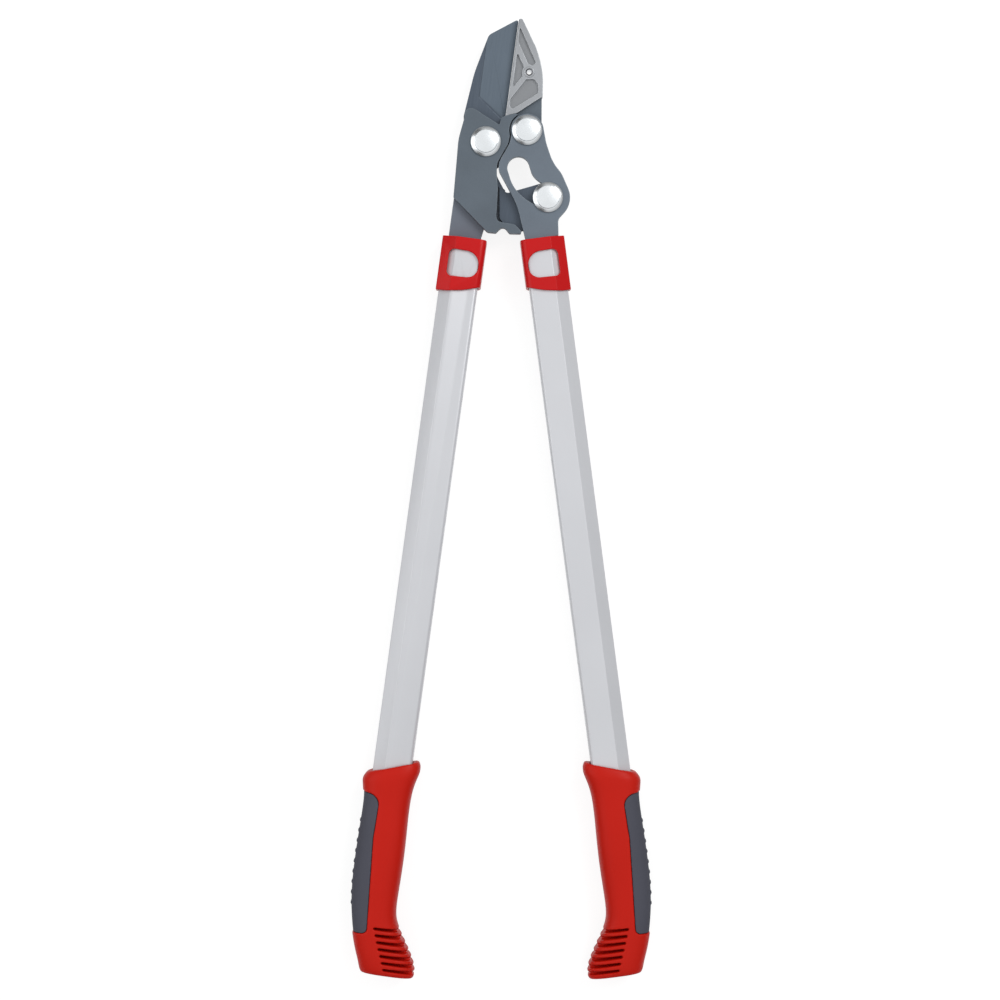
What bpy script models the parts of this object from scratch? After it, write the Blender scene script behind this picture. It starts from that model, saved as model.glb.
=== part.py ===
"""Anvil lopper of the 750 mm class, lying on its back with the handles closed.

The frame is in metres. The origin lies on the level that the tool rests on, under the axis of
the lever pivot. +Y runs towards the tip of the anvil, +X towards the moving lever and +Z up.
The anvil, the head casting and the left handle are one rigid side. The right handle turns the
lever plate, whose slot pushes the cam bolt in the blade's tang, and so turns the blade.
"""

import bpy
import bmesh
import math
from mathutils import Matrix, Vector

# Clearances
SEAT_GAP = 0.0003        # between faces that touch or slide
EDGE_GAP = 0.0003        # between the closed blade's edge and the anvil
CAM_GAP = 0.0005         # between the cam roller and each flank of its slot
HOLE_GAP = 0.0002        # around a rivet, a screw or a pin
JOIN_INSET = 0.0004      # how far inner webs of the casting stay inside its rims
CUT = 0.002              # how far a cutter runs past what it cuts

# Layers of the head
GRIP_THICK = 0.034
BLADE_DROP = 0.002       # from the handles' middle down to the blade's middle
BLADE_THICK = 0.004
FRONT_THICK = 0.006      # the casting's cheek and the lever plate
REAR_THICK = 0.004
WEB_REACH = 0.003        # how far the casting's inner webs reach into its cheek

# Pivots, about the lever pivot
PIVOT_SPREAD = 0.0322
PIVOT_DROP = 0.0089
CAM_OUT = 0.0162
CAM_DROP = 0.0524
LEVER_OPENING = math.radians(75)
BLADE_RATIO = 0.5        # degrees of the blade for each degree of the lever

# Bolts, nuts, washers and bushings
HEAD_RADIUS = 0.0118
HEAD_THICK = 0.0022
FACE_RADIUS = 0.0090
FACE_RISE = 0.0011
PIVOT_RADIUS = 0.005
CAM_RADIUS = 0.004
BUSH_WALL = 0.0014
WASHER_WALL = 0.0045
WASHER_THICK = 0.0015
PIVOT_NUT_FLATS = 0.017
PIVOT_NUT_HEIGHT = 0.006
CAM_NUT_FLATS = 0.013
CAM_NUT_HEIGHT = 0.005
CAM_THREAD_END = 0.0009  # cam bolt left over behind its nut
EDGE_BREAK = 0.0005      # chamfer on a turned edge
SCREW_RADIUS = 0.002
SCREW_HEAD_RADIUS = 0.0034
SCREW_HEAD_THICK = 0.0022
SCREW_COVER = 0.003      # casting left in front of a screw

# Head casting and lever plate
EYE_RADIUS = 0.0129      # lever plate about its pivot
BAY_START = 120          # degrees about the lever pivot at which the casting's bay begins
CAM_EYE_RADIUS = 0.0173  # lever plate about the cam bolt
LEVER_GAP = 0.0010       # between the lever plate and the casting's cheek beside it
CAM_SLOT_HALF = 0.0086
SLOT_OVERRUN = 0.0062    # slot beyond the fully open cam bolt
FLANK_FALL = math.radians(13)

# Blade and anvil
ANVIL_THICK = 0.012
ANVIL_WEB = 0.0055       # anvil left between its cutting face and the tongue
ANVIL_HEEL = (-0.0165, 0.0117)
ANVIL_TIP = (-0.0064, 0.0865)
ANVIL_PIN = (0.0016, 0.0457)
POCKET_DEPTH = 0.002
TONGUE_LENGTH = 0.050
TONGUE_INSET = 0.0008    # from the anvil's outer side
ROLL_PIN_RADIUS = 0.0026
ROLL_PIN_WALL = 0.0010
ROLL_PIN_SINK = 0.0004
GRIND_WIDTH = 0.0225
GRIND_DEPTH = 0.0017
BLADE_EYE_RADIUS = 0.0134
TANG_EYE_RADIUS = 0.0128

# Shanks, collars and tubes, along each handle's axis from the level of the lever pivot
LEVER_TILT = math.radians(7.4)
ANVIL_TILT = math.radians(7.8)
LEVER_AXIS_X = 0.0007
ANVIL_AXIS_X = -0.0370
SHANK_WIDTH = 0.026
SHANK_TAPER = 0.0010     # the fixed shank is this much narrower at its collar
SHANK_SHOW = 0.0325      # from the cam bolt's level to the collar
TENON_WIDTH = 0.018      # shank inside the tube
TENON_OFFSET = -0.002
TENON_LENGTH = 0.058
TUBE_WIDTH = 0.030
TUBE_THICK = 0.022
TUBE_WALL = 0.0015
TUBE_NOSE = 0.009        # height of the tube's narrow outer edge
TUBE_FLAT = 0.0055       # where the flat face ends and the sloping facet starts
TUBE_CORNER = 0.003
TUBE_LENGTH = 0.5172
INSERT_LENGTH = 0.060
COLLAR_WALL = 0.002
COLLAR_END = 0.003
COLLAR_LENGTH = 0.0425
COLLAR_SLANT = 0.0056    # the collar is this much shorter on its inner side
COLLAR_SAG = 0.0018      # and its end sags this much below a straight line
WINDOW_START = 0.0098
WINDOW_LENGTH = 0.0213
WINDOW_OUTER = 0.0106    # the window's straight side and its round one, from the axis
WINDOW_INNER = -0.0136
WINDOW_CORNER = 0.0040
RIVET_RADIUS = 0.002
RIVET_SPACING = 0.009
RIVET_DOWN = 0.0358      # from the collar's top

# Grips, from the middle of their slanted top
GRIP_OVERLAP = 0.100     # tube inside each grip
GRIP_LENGTH = 0.1573
PAD_THICK = 0.0025
PAD_START = 0.0182
PAD_RISE = 0.0292        # pad's lower end above the grip's end
PAD_INSET = 0.0088       # pad's front edge from the tube's outer edge
VENT_COUNT = 7
VENT_PITCH = 0.0052
VENT_WIDTH = 0.0020
VENT_WEB = 0.010         # grip left in the middle of its thickness, behind each vent
NOTCH_DEPTH = 0.0014     # notch between two ribs at the grip's inner edge
RIB_HOOK = 0.0014        # height of the hook at each rib's end, and how far it steps out
HOOK_STEP = 0.0005
LAST_RIB = 0.0034        # height of the rib at the grip's end
VENT_RISE = 0.0365       # first vent above the grip's end
VENT_REACH = 0.0023      # the first vent ends this far inward of the axis
VENT_STEP = 0.0019       # and each further one ends this much sooner
GRIP_SIDES = 24
GRIP_SQUARE = 2.8        # 2 gives an oval grip, more a squarer one

# Levels and places worked out from the sizes
HANDLE_Z = GRIP_THICK / 2
BLADE_Z = HANDLE_Z - BLADE_DROP
BLADE_TOP = BLADE_Z + BLADE_THICK / 2
BLADE_BOTTOM = BLADE_Z - BLADE_THICK / 2
FRONT_BOTTOM = BLADE_TOP + SEAT_GAP
FRONT_TOP = FRONT_BOTTOM + FRONT_THICK
REAR_TOP = BLADE_BOTTOM - SEAT_GAP
REAR_BOTTOM = REAR_TOP - REAR_THICK
LEVER_PIVOT = Vector((0.0, 0.0))
BLADE_PIVOT = Vector((-PIVOT_SPREAD, -PIVOT_DROP))
CAM_PIN = Vector((CAM_OUT, -CAM_DROP))
COLLAR_TOP = CAM_DROP + SHANK_SHOW
TUBE_TOP = COLLAR_TOP + COLLAR_END + SEAT_GAP
TUBE_BOTTOM = TUBE_TOP + TUBE_LENGTH
GRIP_TOP = TUBE_BOTTOM - GRIP_OVERLAP
BOLT_HOLE = PIVOT_RADIUS + SEAT_GAP
BUSH_RADIUS = BOLT_HOLE + BUSH_WALL
HUB_ROOM = BLADE_EYE_RADIUS + 3 * SEAT_GAP
TILTS = {"lever": LEVER_TILT, "anvil": ANVIL_TILT}
AXES_X = {"lever": LEVER_AXIS_X, "anvil": ANVIL_AXIS_X}
OUTWARD = {"lever": 1, "anvil": -1}
ARC_STEP = math.radians(18)

# Finishes: name, colour, roughness, metallic
CASTING_PAINT = ("casting_grey", (0.127, 0.153, 0.184), 0.45, 0.3)
SHANK_STEEL = ("shank_steel", (0.153, 0.175, 0.216), 0.40, 0.6)
LEVER_STEEL = ("lever_steel", (0.168, 0.202, 0.240), 0.40, 0.6)
BLADE_COATING = ("blade_coating", (0.097, 0.125, 0.159), 0.40, 0.2)
ANVIL_ALLOY = ("anvil_alloy", (0.36, 0.38, 0.40), 0.50, 0.8)
BRIGHT_ZINC = ("bright_zinc", (0.78, 0.81, 0.83), 0.20, 1.0)
BUSH_BRONZE = ("bush_bronze", (0.45, 0.27, 0.11), 0.40, 1.0)
SILVER_PAINT = ("silver_paint", (0.61, 0.62, 0.63), 0.35, 0.4)
RED_PLASTIC = ("red_plastic", (0.52, 0.018, 0.012), 0.40, 0.0)
GREY_NYLON = ("grey_nylon", (0.12, 0.12, 0.13), 0.60, 0.0)
SOFT_GREY = ("soft_grey", (0.076, 0.082, 0.102), 0.75, 0.0)


def new_collections():
    for item in list(bpy.data.objects):
        bpy.data.objects.remove(item, do_unlink=True)
    parts = bpy.data.collections.new("anvil_lopper")
    cutters = bpy.data.collections.new("cutters")
    bpy.context.scene.collection.children.link(parts)
    bpy.context.scene.collection.children.link(cutters)
    return parts, cutters


PARTS, CUTTERS = new_collections()


def material(finish):
    name, colour, roughness, metallic = finish
    found = bpy.data.materials.get(name)
    if found:
        return found
    made = bpy.data.materials.new(name)
    made.use_nodes = True
    shader = made.node_tree.nodes["Principled BSDF"]
    shader.inputs["Base Color"].default_value = (*colour, 1.0)
    shader.inputs["Roughness"].default_value = roughness
    shader.inputs["Metallic"].default_value = metallic
    return made


def piece(name, mesh, finish):
    """A sub-part: its mesh, its material and its place in the model's collection."""
    mesh.name = name
    mesh.materials.clear()
    mesh.materials.append(material(finish))
    made = bpy.data.objects.new(name, mesh)
    PARTS.objects.link(made)
    return made


def cutter(name, mesh):
    mesh.name = name
    made = bpy.data.objects.new(name, mesh)
    made.hide_render = True
    made.display_type = "WIRE"
    CUTTERS.objects.link(made)
    return made


def boolean(target, tool, operation="DIFFERENCE"):
    step = target.modifiers.new(tool.name, "BOOLEAN")
    step.operation = operation
    step.solver = "EXACT"
    step.object = tool


def hang(name, place, children):
    """Parents pieces to an empty on their joint's axis, and leaves them where they are."""
    axis = bpy.data.objects.new(name, None)
    axis.location = (place.x, place.y, BLADE_Z)
    PARTS.objects.link(axis)
    bpy.context.view_layer.update()
    for child in children:
        child.parent = axis
        child.matrix_parent_inverse = axis.matrix_world.inverted()


def arc(centre, radius, start, end):
    """Corners without a fillet along an arc between two angles in degrees."""
    first, last = math.radians(start), math.radians(end)
    count = max(2, math.ceil(abs(last - first) / ARC_STEP))
    turns = [first + (last - first) * i / count for i in range(count + 1)]
    return [(centre[0] + radius * math.cos(a), centre[1] + radius * math.sin(a), 0.0) for a in turns]


def circle(centre, radius, sides=28):
    turns = [2 * math.pi * i / sides for i in range(sides)]
    return [(centre[0] + radius * math.cos(a), centre[1] + radius * math.sin(a)) for a in turns]


def hexagon(centre, flats):
    return circle(centre, flats / math.sqrt(3), 6)


def rounded(corners):
    """An outline from corners (x, y, radius), each with its fillet, limited by its two sides."""
    outline = []
    for i, (x, y, radius) in enumerate(corners):
        if radius <= 0:
            outline.append((x, y))
            continue
        here = Vector((x, y))
        back = Vector(corners[i - 1][:2]) - here
        ahead = Vector(corners[(i + 1) % len(corners)][:2]) - here
        reach = 0.48 * min(back.length, ahead.length)
        back.normalize()
        ahead.normalize()
        half = math.acos(max(-1.0, min(1.0, back.dot(ahead)))) / 2
        tangent = min(radius / math.tan(half), reach)
        fillet = tangent * math.tan(half)
        middle = here + (back + ahead).normalized() * (fillet / math.sin(half))
        spoke = here + back * tangent - middle
        sweep = math.pi - 2 * half
        if back.cross(ahead) > 0:
            sweep = -sweep
        count = max(1, math.ceil(abs(sweep) / ARC_STEP))
        for k in range(count + 1):
            point = middle + Matrix.Rotation(sweep * k / count, 2) @ spoke
            outline.append((point.x, point.y))
    return outline


def about(anchor, *corners):
    """Corners given from an anchor, in the model's frame."""
    return [(anchor[0] + dx, anchor[1] + dy, radius) for dx, dy, radius in corners]


def prism(outlines, low, high, frame=Matrix()):
    """A closed solid between two levels over flat outlines: the rim first, then its holes."""
    curve = bpy.data.curves.new("outline", "CURVE")
    curve.dimensions = "2D"
    curve.fill_mode = "BOTH"
    curve.extrude = (high - low) / 2
    for outline in outlines:
        spline = curve.splines.new("POLY")
        spline.points.add(len(outline) - 1)
        for point, (x, y) in zip(spline.points, outline):
            point.co = (x, y, 0.0, 1.0)
        spline.use_cyclic_u = True
    holder = bpy.data.objects.new("outline", curve)
    CUTTERS.objects.link(holder)
    depsgraph = bpy.context.evaluated_depsgraph_get()
    mesh = bpy.data.meshes.new_from_object(holder.evaluated_get(depsgraph))
    bpy.data.objects.remove(holder)
    edit = bmesh.new()
    edit.from_mesh(mesh)
    bmesh.ops.remove_doubles(edit, verts=edit.verts, dist=1e-6)
    bmesh.ops.recalc_face_normals(edit, faces=edit.faces)
    edit.to_mesh(mesh)
    edit.free()
    mesh.transform(frame @ Matrix.Translation((0.0, 0.0, (low + high) / 2)))
    return mesh


def rod(centre, radius, low, high, sides=24):
    return prism([circle(centre, radius, sides)], low, high)


def ring(centre, inner, outer, low, high):
    return prism([circle(centre, outer), circle(centre, inner, 24)], low, high)


def turned(name, profile, centre, finish, steps=28):
    """A turned piece: its profile runs from the top of its axis down its outer side."""
    mesh = bpy.data.meshes.new(name)
    edges = [(i, i + 1) for i in range(len(profile) - 1)]
    mesh.from_pydata([(radius, 0.0, height) for radius, height in profile], edges, [])
    made = piece(name, mesh, finish)
    made.location = (centre[0], centre[1], 0.0)
    screw = made.modifiers.new("turn", "SCREW")
    screw.steps = steps
    screw.render_steps = steps
    screw.use_merge_vertices = True
    screw.merge_threshold = 0.00001
    return made


def tilted(mesh, start, end, level, angle):
    """Turns a mesh about the line from start to end at a level."""
    base = Matrix.Translation((start[0], start[1], level))
    line = Vector((end[0] - start[0], end[1] - start[1], 0.0))
    mesh.transform(base @ Matrix.Rotation(angle, 4, line) @ base.inverted())
    return mesh


def handle_point(side, u, s):
    """Place of a point u outward from a handle's axis and s down it."""
    tilt = TILTS[side]
    x = AXES_X[side] + OUTWARD[side] * (u * math.cos(tilt) + s * math.sin(tilt))
    y = u * math.sin(tilt) - s * math.cos(tilt)
    return x, y


def handle_corners(side, *corners):
    return [(*handle_point(side, u, s), radius) for u, s, radius in corners]


def handle_frame(side):
    """Local X across the handle, local Y up and local Z down the handle's axis."""
    tilt = TILTS[side]
    lean = OUTWARD[side] * math.sin(tilt)
    across = (math.cos(tilt), lean, 0.0)
    up = (0.0, 0.0, 1.0)
    down = (lean, -math.cos(tilt), 0.0)
    axes = Matrix((across, up, down)).transposed().to_4x4()
    return Matrix.Translation((*handle_point(side, 0.0, 0.0), HANDLE_Z)) @ axes


def tube_section(side, grow=0.0, corner=TUBE_CORNER):
    """Section of the handle tube with each wall moved out by grow: two flats and a narrow nose."""
    inner, outer = -TUBE_WIDTH / 2 - grow, TUBE_WIDTH / 2 + grow
    high = TUBE_THICK / 2 + grow
    run = TUBE_WIDTH / 2 - TUBE_FLAT
    fall = (TUBE_THICK - TUBE_NOSE) / 2
    flat = TUBE_FLAT + grow * (math.hypot(run, fall) - run) / fall
    nose = high - (outer - flat) * fall / run
    upper = [(inner, high, corner), (flat, high, corner / 2), (outer, nose, corner / 2)]
    lower = [(u, -z, radius) for u, z, radius in reversed(upper)]
    return rounded([(OUTWARD[side] * u, z, radius) for u, z, radius in upper + lower])


def face_line(inward):
    """Heel and tip of the anvil's cutting face moved into the anvil by inward, and its course."""
    heel, tip = Vector(ANVIL_HEEL), Vector(ANVIL_TIP)
    along = (tip - heel).normalized()
    shift = Vector((along.y, -along.x)) * inward
    return heel + shift, tip + shift, along


def shank_level(side):
    """Bottom and top of the flat steel that goes into a handle."""
    if side == "lever":
        return FRONT_BOTTOM, FRONT_TOP
    return BLADE_BOTTOM, BLADE_TOP


def tenon_corners(side, taper=0.0):
    """Corners of a shank from its inner shoulder, round the tenon, to its outer shoulder."""
    shoulder = COLLAR_TOP - SEAT_GAP
    end = COLLAR_TOP + TENON_LENGTH
    half = SHANK_WIDTH / 2
    left, right = TENON_OFFSET - TENON_WIDTH / 2, TENON_OFFSET + TENON_WIDTH / 2
    return handle_corners(
        side, (taper - half, shoulder, 0.001), (left, shoulder, 0.0), (left, end, 0.003),
        (right, end, 0.003), (right, shoulder, 0.0), (half, shoulder, 0.001))


def rivet_places(side):
    middle = COLLAR_TOP + RIVET_DOWN
    shifts = (TENON_OFFSET - RIVET_SPACING / 2, TENON_OFFSET + RIVET_SPACING / 2)
    return [handle_point(side, u, middle) for u in shifts]


def rivet_holes(side):
    return [circle(place, RIVET_RADIUS + HOLE_GAP, 16) for place in rivet_places(side)]


def screw_places():
    """Three screws pass the fixed shank, and the fourth goes into the lip's wall."""
    top = BLADE_PIVOT + Vector((-0.0178, -0.0241))
    middle = BLADE_PIVOT + Vector((-0.0163, -0.0411))
    low = CAM_PIN + Vector((-0.0559, -0.0090))
    lip = CAM_PIN + Vector((-0.0424, -0.0229))
    return [top, middle, low, lip]


def screw_holes(places):
    return [circle(place, SCREW_RADIUS + HOLE_GAP, 16) for place in places]


def cheek_outline():
    """Front cheek of the casting: lobe, strip beside the lever, lip, notch and long left side."""
    lobe = about(BLADE_PIVOT, (-0.0163, 0.0307, 0.007), (0.0107, 0.0131, 0.001),
                 (0.0121, 0.0188, 0.0008))
    heel = about(ANVIL_HEEL, (0.0, -SEAT_GAP, 0.0004), (0.0078, 0.0014, 0.001))
    bay = arc(LEVER_PIVOT, EYE_RADIUS + LEVER_GAP, BAY_START, 195)
    beside = about(LEVER_PIVOT, (-0.0144, -0.0098, 0.014), (-0.0236, -0.0262, 0.010))
    pocket = about(CAM_PIN, (-0.0398, 0.0164, 0.020), (-0.0389, 0.0073, 0.020),
                   (-0.0404, -0.0186, 0.0045), (-0.0256, -0.0210, 0.004))
    lip = about(CAM_PIN, (-0.0205, -0.0266, 0.0015), (-0.0213, -0.0286, 0.001),
                (-0.0300, -0.0284, 0.0015), (-0.0351, -0.0222, 0.0055),
                (-0.0406, -0.0280, 0.0015), (-0.0474, -0.0272, 0.003))
    shank_side = handle_corners("anvil", (SHANK_WIDTH / 2 + SEAT_GAP, CAM_DROP + 0.0019, 0.001))
    left = about(BLADE_PIVOT, (-0.0214, 0.0019, 0.040), (-0.0168, 0.0184, 0.015))
    return rounded(lobe + heel + bay + beside + pocket + lip + shank_side + left)


def tongue_ends(grow):
    """Low and high end of the tongue's edge that faces the anvil's web."""
    heel, _, along = face_line(ANVIL_WEB - grow)
    return heel + along * 0.0017, heel + along * (TONGUE_LENGTH + grow)


def carrier_outline():
    """Middle layer of the casting: tongue, seat of the lever plate and bridge to the cheek."""
    low, high = tongue_ends(0.0)
    heel, _, along = face_line(0.0)
    bridge_end = heel - along * 0.0165
    boss = EYE_RADIUS - TONGUE_INSET
    tongue = [(high.x, high.y, 0.002), (high.x + 0.0115, high.y, 0.003)]
    tongue += about(ANVIL_PIN, (0.0103, 0.0071, 0.050), (0.0099, -0.0195, 0.010))
    seat = arc(LEVER_PIVOT, boss, 20, -150)
    hub = arc(BLADE_PIVOT, HUB_ROOM, -6, 14)
    bridge = [(bridge_end.x, bridge_end.y, 0.0), (heel.x, heel.y - SEAT_GAP, 0.0)]
    return rounded(tongue + seat + hub + bridge + [(low.x, low.y - SEAT_GAP, 0.0)])


def bridge_outline():
    """Where the carrier and the cheek grow together, beside the lever plate's eye."""
    top = about(ANVIL_HEEL, (0.0005, -0.0013, 0.0))
    bay = arc(LEVER_PIVOT, EYE_RADIUS + LEVER_GAP + JOIN_INSET, 152, 190)
    hub = arc(BLADE_PIVOT, HUB_ROOM + JOIN_INSET, 3, 14)
    return rounded(top + bay + hub)


def lip_wall_outline():
    """Bottom wall of the casting, on which the tang comes to rest."""
    return rounded(about(
        CAM_PIN, (-0.0476, -0.0224, 0.001), (-0.0420, -0.0198, 0.001), (-0.0375, -0.0206, 0.001),
        (-0.0262, -0.0224, 0.002), (-0.0213, -0.0266, 0.001), (-0.0218, -0.0280, 0.0006),
        (-0.0297, -0.0278, 0.001), (-0.0351, -0.0217, 0.0055), (-0.0408, -0.0274, 0.001),
        (-0.0472, -0.0266, 0.002)))


def flank_cutters():
    """Two slopes that take the cheek's left side down towards the shank."""
    crease_top = BLADE_PIVOT + Vector((-0.0123, -0.0110))
    crease_end = BLADE_PIVOT + Vector((-0.0161, -0.0560))
    fade = BLADE_PIVOT + Vector((-0.0215, 0.0070))
    corner = BLADE_PIVOT + Vector((-0.0300, -0.0140))
    across = (crease_end - crease_top).normalized()
    depth = abs(across.cross(corner - crease_top)) * math.tan(FLANK_FALL)
    upper = (fade - crease_top).normalized()
    upper_fall = math.atan(depth / abs(upper.cross(corner - crease_top)))
    below = [crease_top, crease_end, crease_end + (corner - crease_top), corner]
    above = [crease_top, corner, fade + (corner - crease_top), fade]
    low = prism([[tuple(p) for p in below]], FRONT_TOP, FRONT_TOP + FRONT_THICK)
    high = prism([[tuple(p) for p in above]], FRONT_TOP, FRONT_TOP + FRONT_THICK)
    return [
        cutter("flank_lower", tilted(low, crease_top, crease_end, FRONT_TOP, FLANK_FALL)),
        cutter("flank_upper", tilted(high, fade, crease_top, FRONT_TOP, upper_fall)),
    ]


def head_casting():
    """Cast cheek with the carrier of the anvil and the wall that stops the tang."""
    cheek = prism([cheek_outline(), circle(BLADE_PIVOT, BOLT_HOLE)], FRONT_BOTTOM, FRONT_TOP)
    casting = piece("head_casting", cheek, CASTING_PAINT)
    pin_hole = circle(ANVIL_PIN, ROLL_PIN_RADIUS + HOLE_GAP, 16)
    holes = [circle(LEVER_PIVOT, BOLT_HOLE), pin_hole]
    carrier = prism([carrier_outline(), *holes], BLADE_BOTTOM, BLADE_TOP)
    top = FRONT_BOTTOM + WEB_REACH
    bridge = prism([bridge_outline()], BLADE_BOTTOM + JOIN_INSET, top)
    wall = prism([lip_wall_outline()], BLADE_BOTTOM, top)
    boolean(casting, cutter("carrier_layer", carrier), "UNION")
    boolean(casting, cutter("bridge_layer", bridge), "UNION")
    boolean(casting, cutter("lip_wall", wall), "UNION")
    for number, place in enumerate(screw_places(), 1):
        thread = rod(place, SCREW_RADIUS + HOLE_GAP, BLADE_BOTTOM - CUT, FRONT_TOP - SCREW_COVER, 16)
        boolean(casting, cutter(f"casting_thread_{number}", thread))
    for slope in flank_cutters():
        boolean(casting, slope)
    return casting


def rear_plate():
    """Steel plate that closes the head from behind and carries the two pivot bolts."""
    lobe = about(BLADE_PIVOT, (-0.0157, 0.0297, 0.007), (0.0103, 0.0123, 0.002))
    eye = arc(LEVER_PIVOT, EYE_RADIUS - TONGUE_INSET, 150, -140)
    beside = about(LEVER_PIVOT, (-0.0128, -0.0100, 0.010), (-0.0205, -0.0262, 0.003),
                   (-0.0240, -0.0285, 0.002))
    pocket = about(CAM_PIN, (-0.0407, 0.0164, 0.020), (-0.0398, 0.0073, 0.020),
                   (-0.0412, -0.0178, 0.003), (-0.0262, -0.0216, 0.004))
    lip = about(CAM_PIN, (-0.0214, -0.0262, 0.001), (-0.0219, -0.0273, 0.0006),
                (-0.0297, -0.0271, 0.001), (-0.0351, -0.0216, 0.0055),
                (-0.0408, -0.0269, 0.001), (-0.0472, -0.0263, 0.003))
    shank_side = handle_corners("anvil", (SHANK_WIDTH / 2 - JOIN_INSET, CAM_DROP + 0.0015, 0.001))
    left = about(BLADE_PIVOT, (-0.0208, 0.0019, 0.040), (-0.0162, 0.0184, 0.015))
    rim = rounded(lobe + eye + beside + pocket + lip + shank_side + left)
    bolts = [circle(BLADE_PIVOT, BOLT_HOLE), circle(LEVER_PIVOT, BOLT_HOLE)]
    mesh = prism([rim, *bolts, *screw_holes(screw_places())], REAR_BOTTOM, REAR_TOP)
    return piece("rear_plate", mesh, SHANK_STEEL)


def rear_screws():
    """Pan-head screws from behind, through the rear plate and the shank into the casting."""
    seat = REAR_BOTTOM - SEAT_GAP
    end = FRONT_TOP - SCREW_COVER - SEAT_GAP
    profile = [(0.0, end), (SCREW_RADIUS, end), (SCREW_RADIUS, seat), (SCREW_HEAD_RADIUS, seat),
               (SCREW_HEAD_RADIUS, seat - SCREW_HEAD_THICK + EDGE_BREAK),
               (SCREW_HEAD_RADIUS - EDGE_BREAK, seat - SCREW_HEAD_THICK),
               (0.0, seat - SCREW_HEAD_THICK)]
    return [turned(f"rear_screw_{n}", profile, place, BRIGHT_ZINC, 16)
            for n, place in enumerate(screw_places(), 1)]


def anvil_rim():
    _, tip, along = face_line(0.0)
    heel = about(ANVIL_HEEL, (0.0, 0.0, 0.0006))
    side = about(ANVIL_PIN, (-0.0097, -0.0321, 0.008), (0.0106, -0.0188, 0.0012),
                 (0.0111, 0.0073, 0.065), (-0.0053, 0.0420, 0.0018))
    top = tip + along * 0.0006
    return rounded(heel + side + [(top.x, top.y, 0.001)])


def anvil():
    """Die-cast anvil: it sits astride the casting's tongue and has three pockets in its front."""
    low, high = BLADE_Z - ANVIL_THICK / 2, BLADE_Z + ANVIL_THICK / 2
    pin_hole = circle(ANVIL_PIN, ROLL_PIN_RADIUS + HOLE_GAP, 16)
    made = piece("anvil", prism([anvil_rim(), pin_hole], low, high), ANVIL_ALLOY)
    slot_low, slot_high = tongue_ends(SEAT_GAP)
    beyond = slot_high.x + 2 * TONGUE_LENGTH
    below = slot_low.y - TONGUE_LENGTH
    slot = [(slot_low.x, below), tuple(slot_low), tuple(slot_high),
            (beyond, slot_high.y), (beyond, below)]
    boolean(made, cutter("tongue_slot", prism([slot], REAR_TOP, FRONT_BOTTOM)))
    pockets = {
        "pocket_top": [(-0.0074, 0.0362, 0.0008), (0.0054, 0.0069, 0.0015), (0.0022, 0.0050, 0.001),
                       (-0.0009, 0.0070, 0.001), (-0.0081, 0.0229, 0.002)],
        "pocket_side": [(-0.0092, 0.0156, 0.0008), (-0.0043, 0.0042, 0.001), (-0.0056, 0.0004, 0.003),
                        (-0.0054, -0.0030, 0.001), (-0.0129, -0.0123, 0.0008)],
        "pocket_heel": [(-0.0022, -0.0058, 0.001), (0.0038, -0.0054, 0.003), (0.0071, -0.0098, 0.003),
                        (0.0071, -0.0162, 0.002), (-0.0133, -0.0289, 0.0015),
                        (-0.0153, -0.0268, 0.0015), (-0.0145, -0.0209, 0.002)],
    }
    for name, corners in pockets.items():
        outline = rounded(about(ANVIL_PIN, *corners))
        boolean(made, cutter(name, prism([outline], high - POCKET_DEPTH, high + CUT)))
    return made


def anvil_pin():
    """Hollow roll pin through the anvil and the tongue."""
    low = BLADE_Z - ANVIL_THICK / 2 + ROLL_PIN_SINK
    high = BLADE_Z + ANVIL_THICK / 2 - ROLL_PIN_SINK
    bore = circle(ANVIL_PIN, ROLL_PIN_RADIUS - ROLL_PIN_WALL, 16)
    return piece("anvil_pin", prism([circle(ANVIL_PIN, ROLL_PIN_RADIUS, 16), bore], low, high), BRIGHT_ZINC)


def blade_outline():
    """Blade, hub and bent tang in one plate, from the tip down its back and up its edge."""
    edge_heel, edge_tip, along = face_line(-EDGE_GAP)
    tip = edge_tip + along * 0.0018
    back = about(BLADE_PIVOT, (0.0024, 0.0845, 0.006), (-0.0090, 0.0549, 0.080),
                 (-0.0174, 0.0209, 0.004), (-0.0168, 0.0049, 0.006), (-0.0118, -0.0131, 0.012),
                 (-0.0100, -0.0211, 0.010), (-0.0100, -0.0393, 0.004))
    tang = about(CAM_PIN, (-0.0412, -0.0132, 0.004), (-0.0387, -0.0200, 0.002),
                 (-0.0256, -0.0220, 0.001), (-0.0209, -0.0258, 0.001), (-0.0150, -0.0240, 0.004))
    eye = arc(CAM_PIN, TANG_EYE_RADIUS, -80, 100)
    crook = about(CAM_PIN, (-0.0327, 0.0039, 0.003)) + about(BLADE_PIVOT, (0.0083, -0.0256, 0.012))
    reach = Vector((along.y, -along.x)).dot(edge_heel - BLADE_PIVOT)
    lean = math.degrees(math.atan2(-along.x, along.y))
    meet = lean + math.degrees(math.acos(min(1.0, reach / BLADE_EYE_RADIUS)))
    hub = arc(BLADE_PIVOT, BLADE_EYE_RADIUS, -55, meet)
    return rounded([(tip.x, tip.y, 0.0015)] + back + tang + eye + crook + hub)


def grind_outline():
    """Plan of the ground bevel, from its ridge past the cutting edge."""
    ridge_heel, ridge_tip, along = face_line(-EDGE_GAP - GRIND_WIDTH)
    edge_heel, edge_tip, _ = face_line(-EDGE_GAP)
    outside = Vector((along.y, -along.x)) * 0.01
    ridge_low = ridge_heel + along * 0.0135
    edge_low = edge_heel - along * 0.0036
    corners = [ridge_tip + along * 0.02, ridge_low, edge_low, edge_low + outside,
               edge_tip + along * 0.02 + outside]
    return [tuple(corner) for corner in corners], ridge_low, ridge_tip


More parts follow.
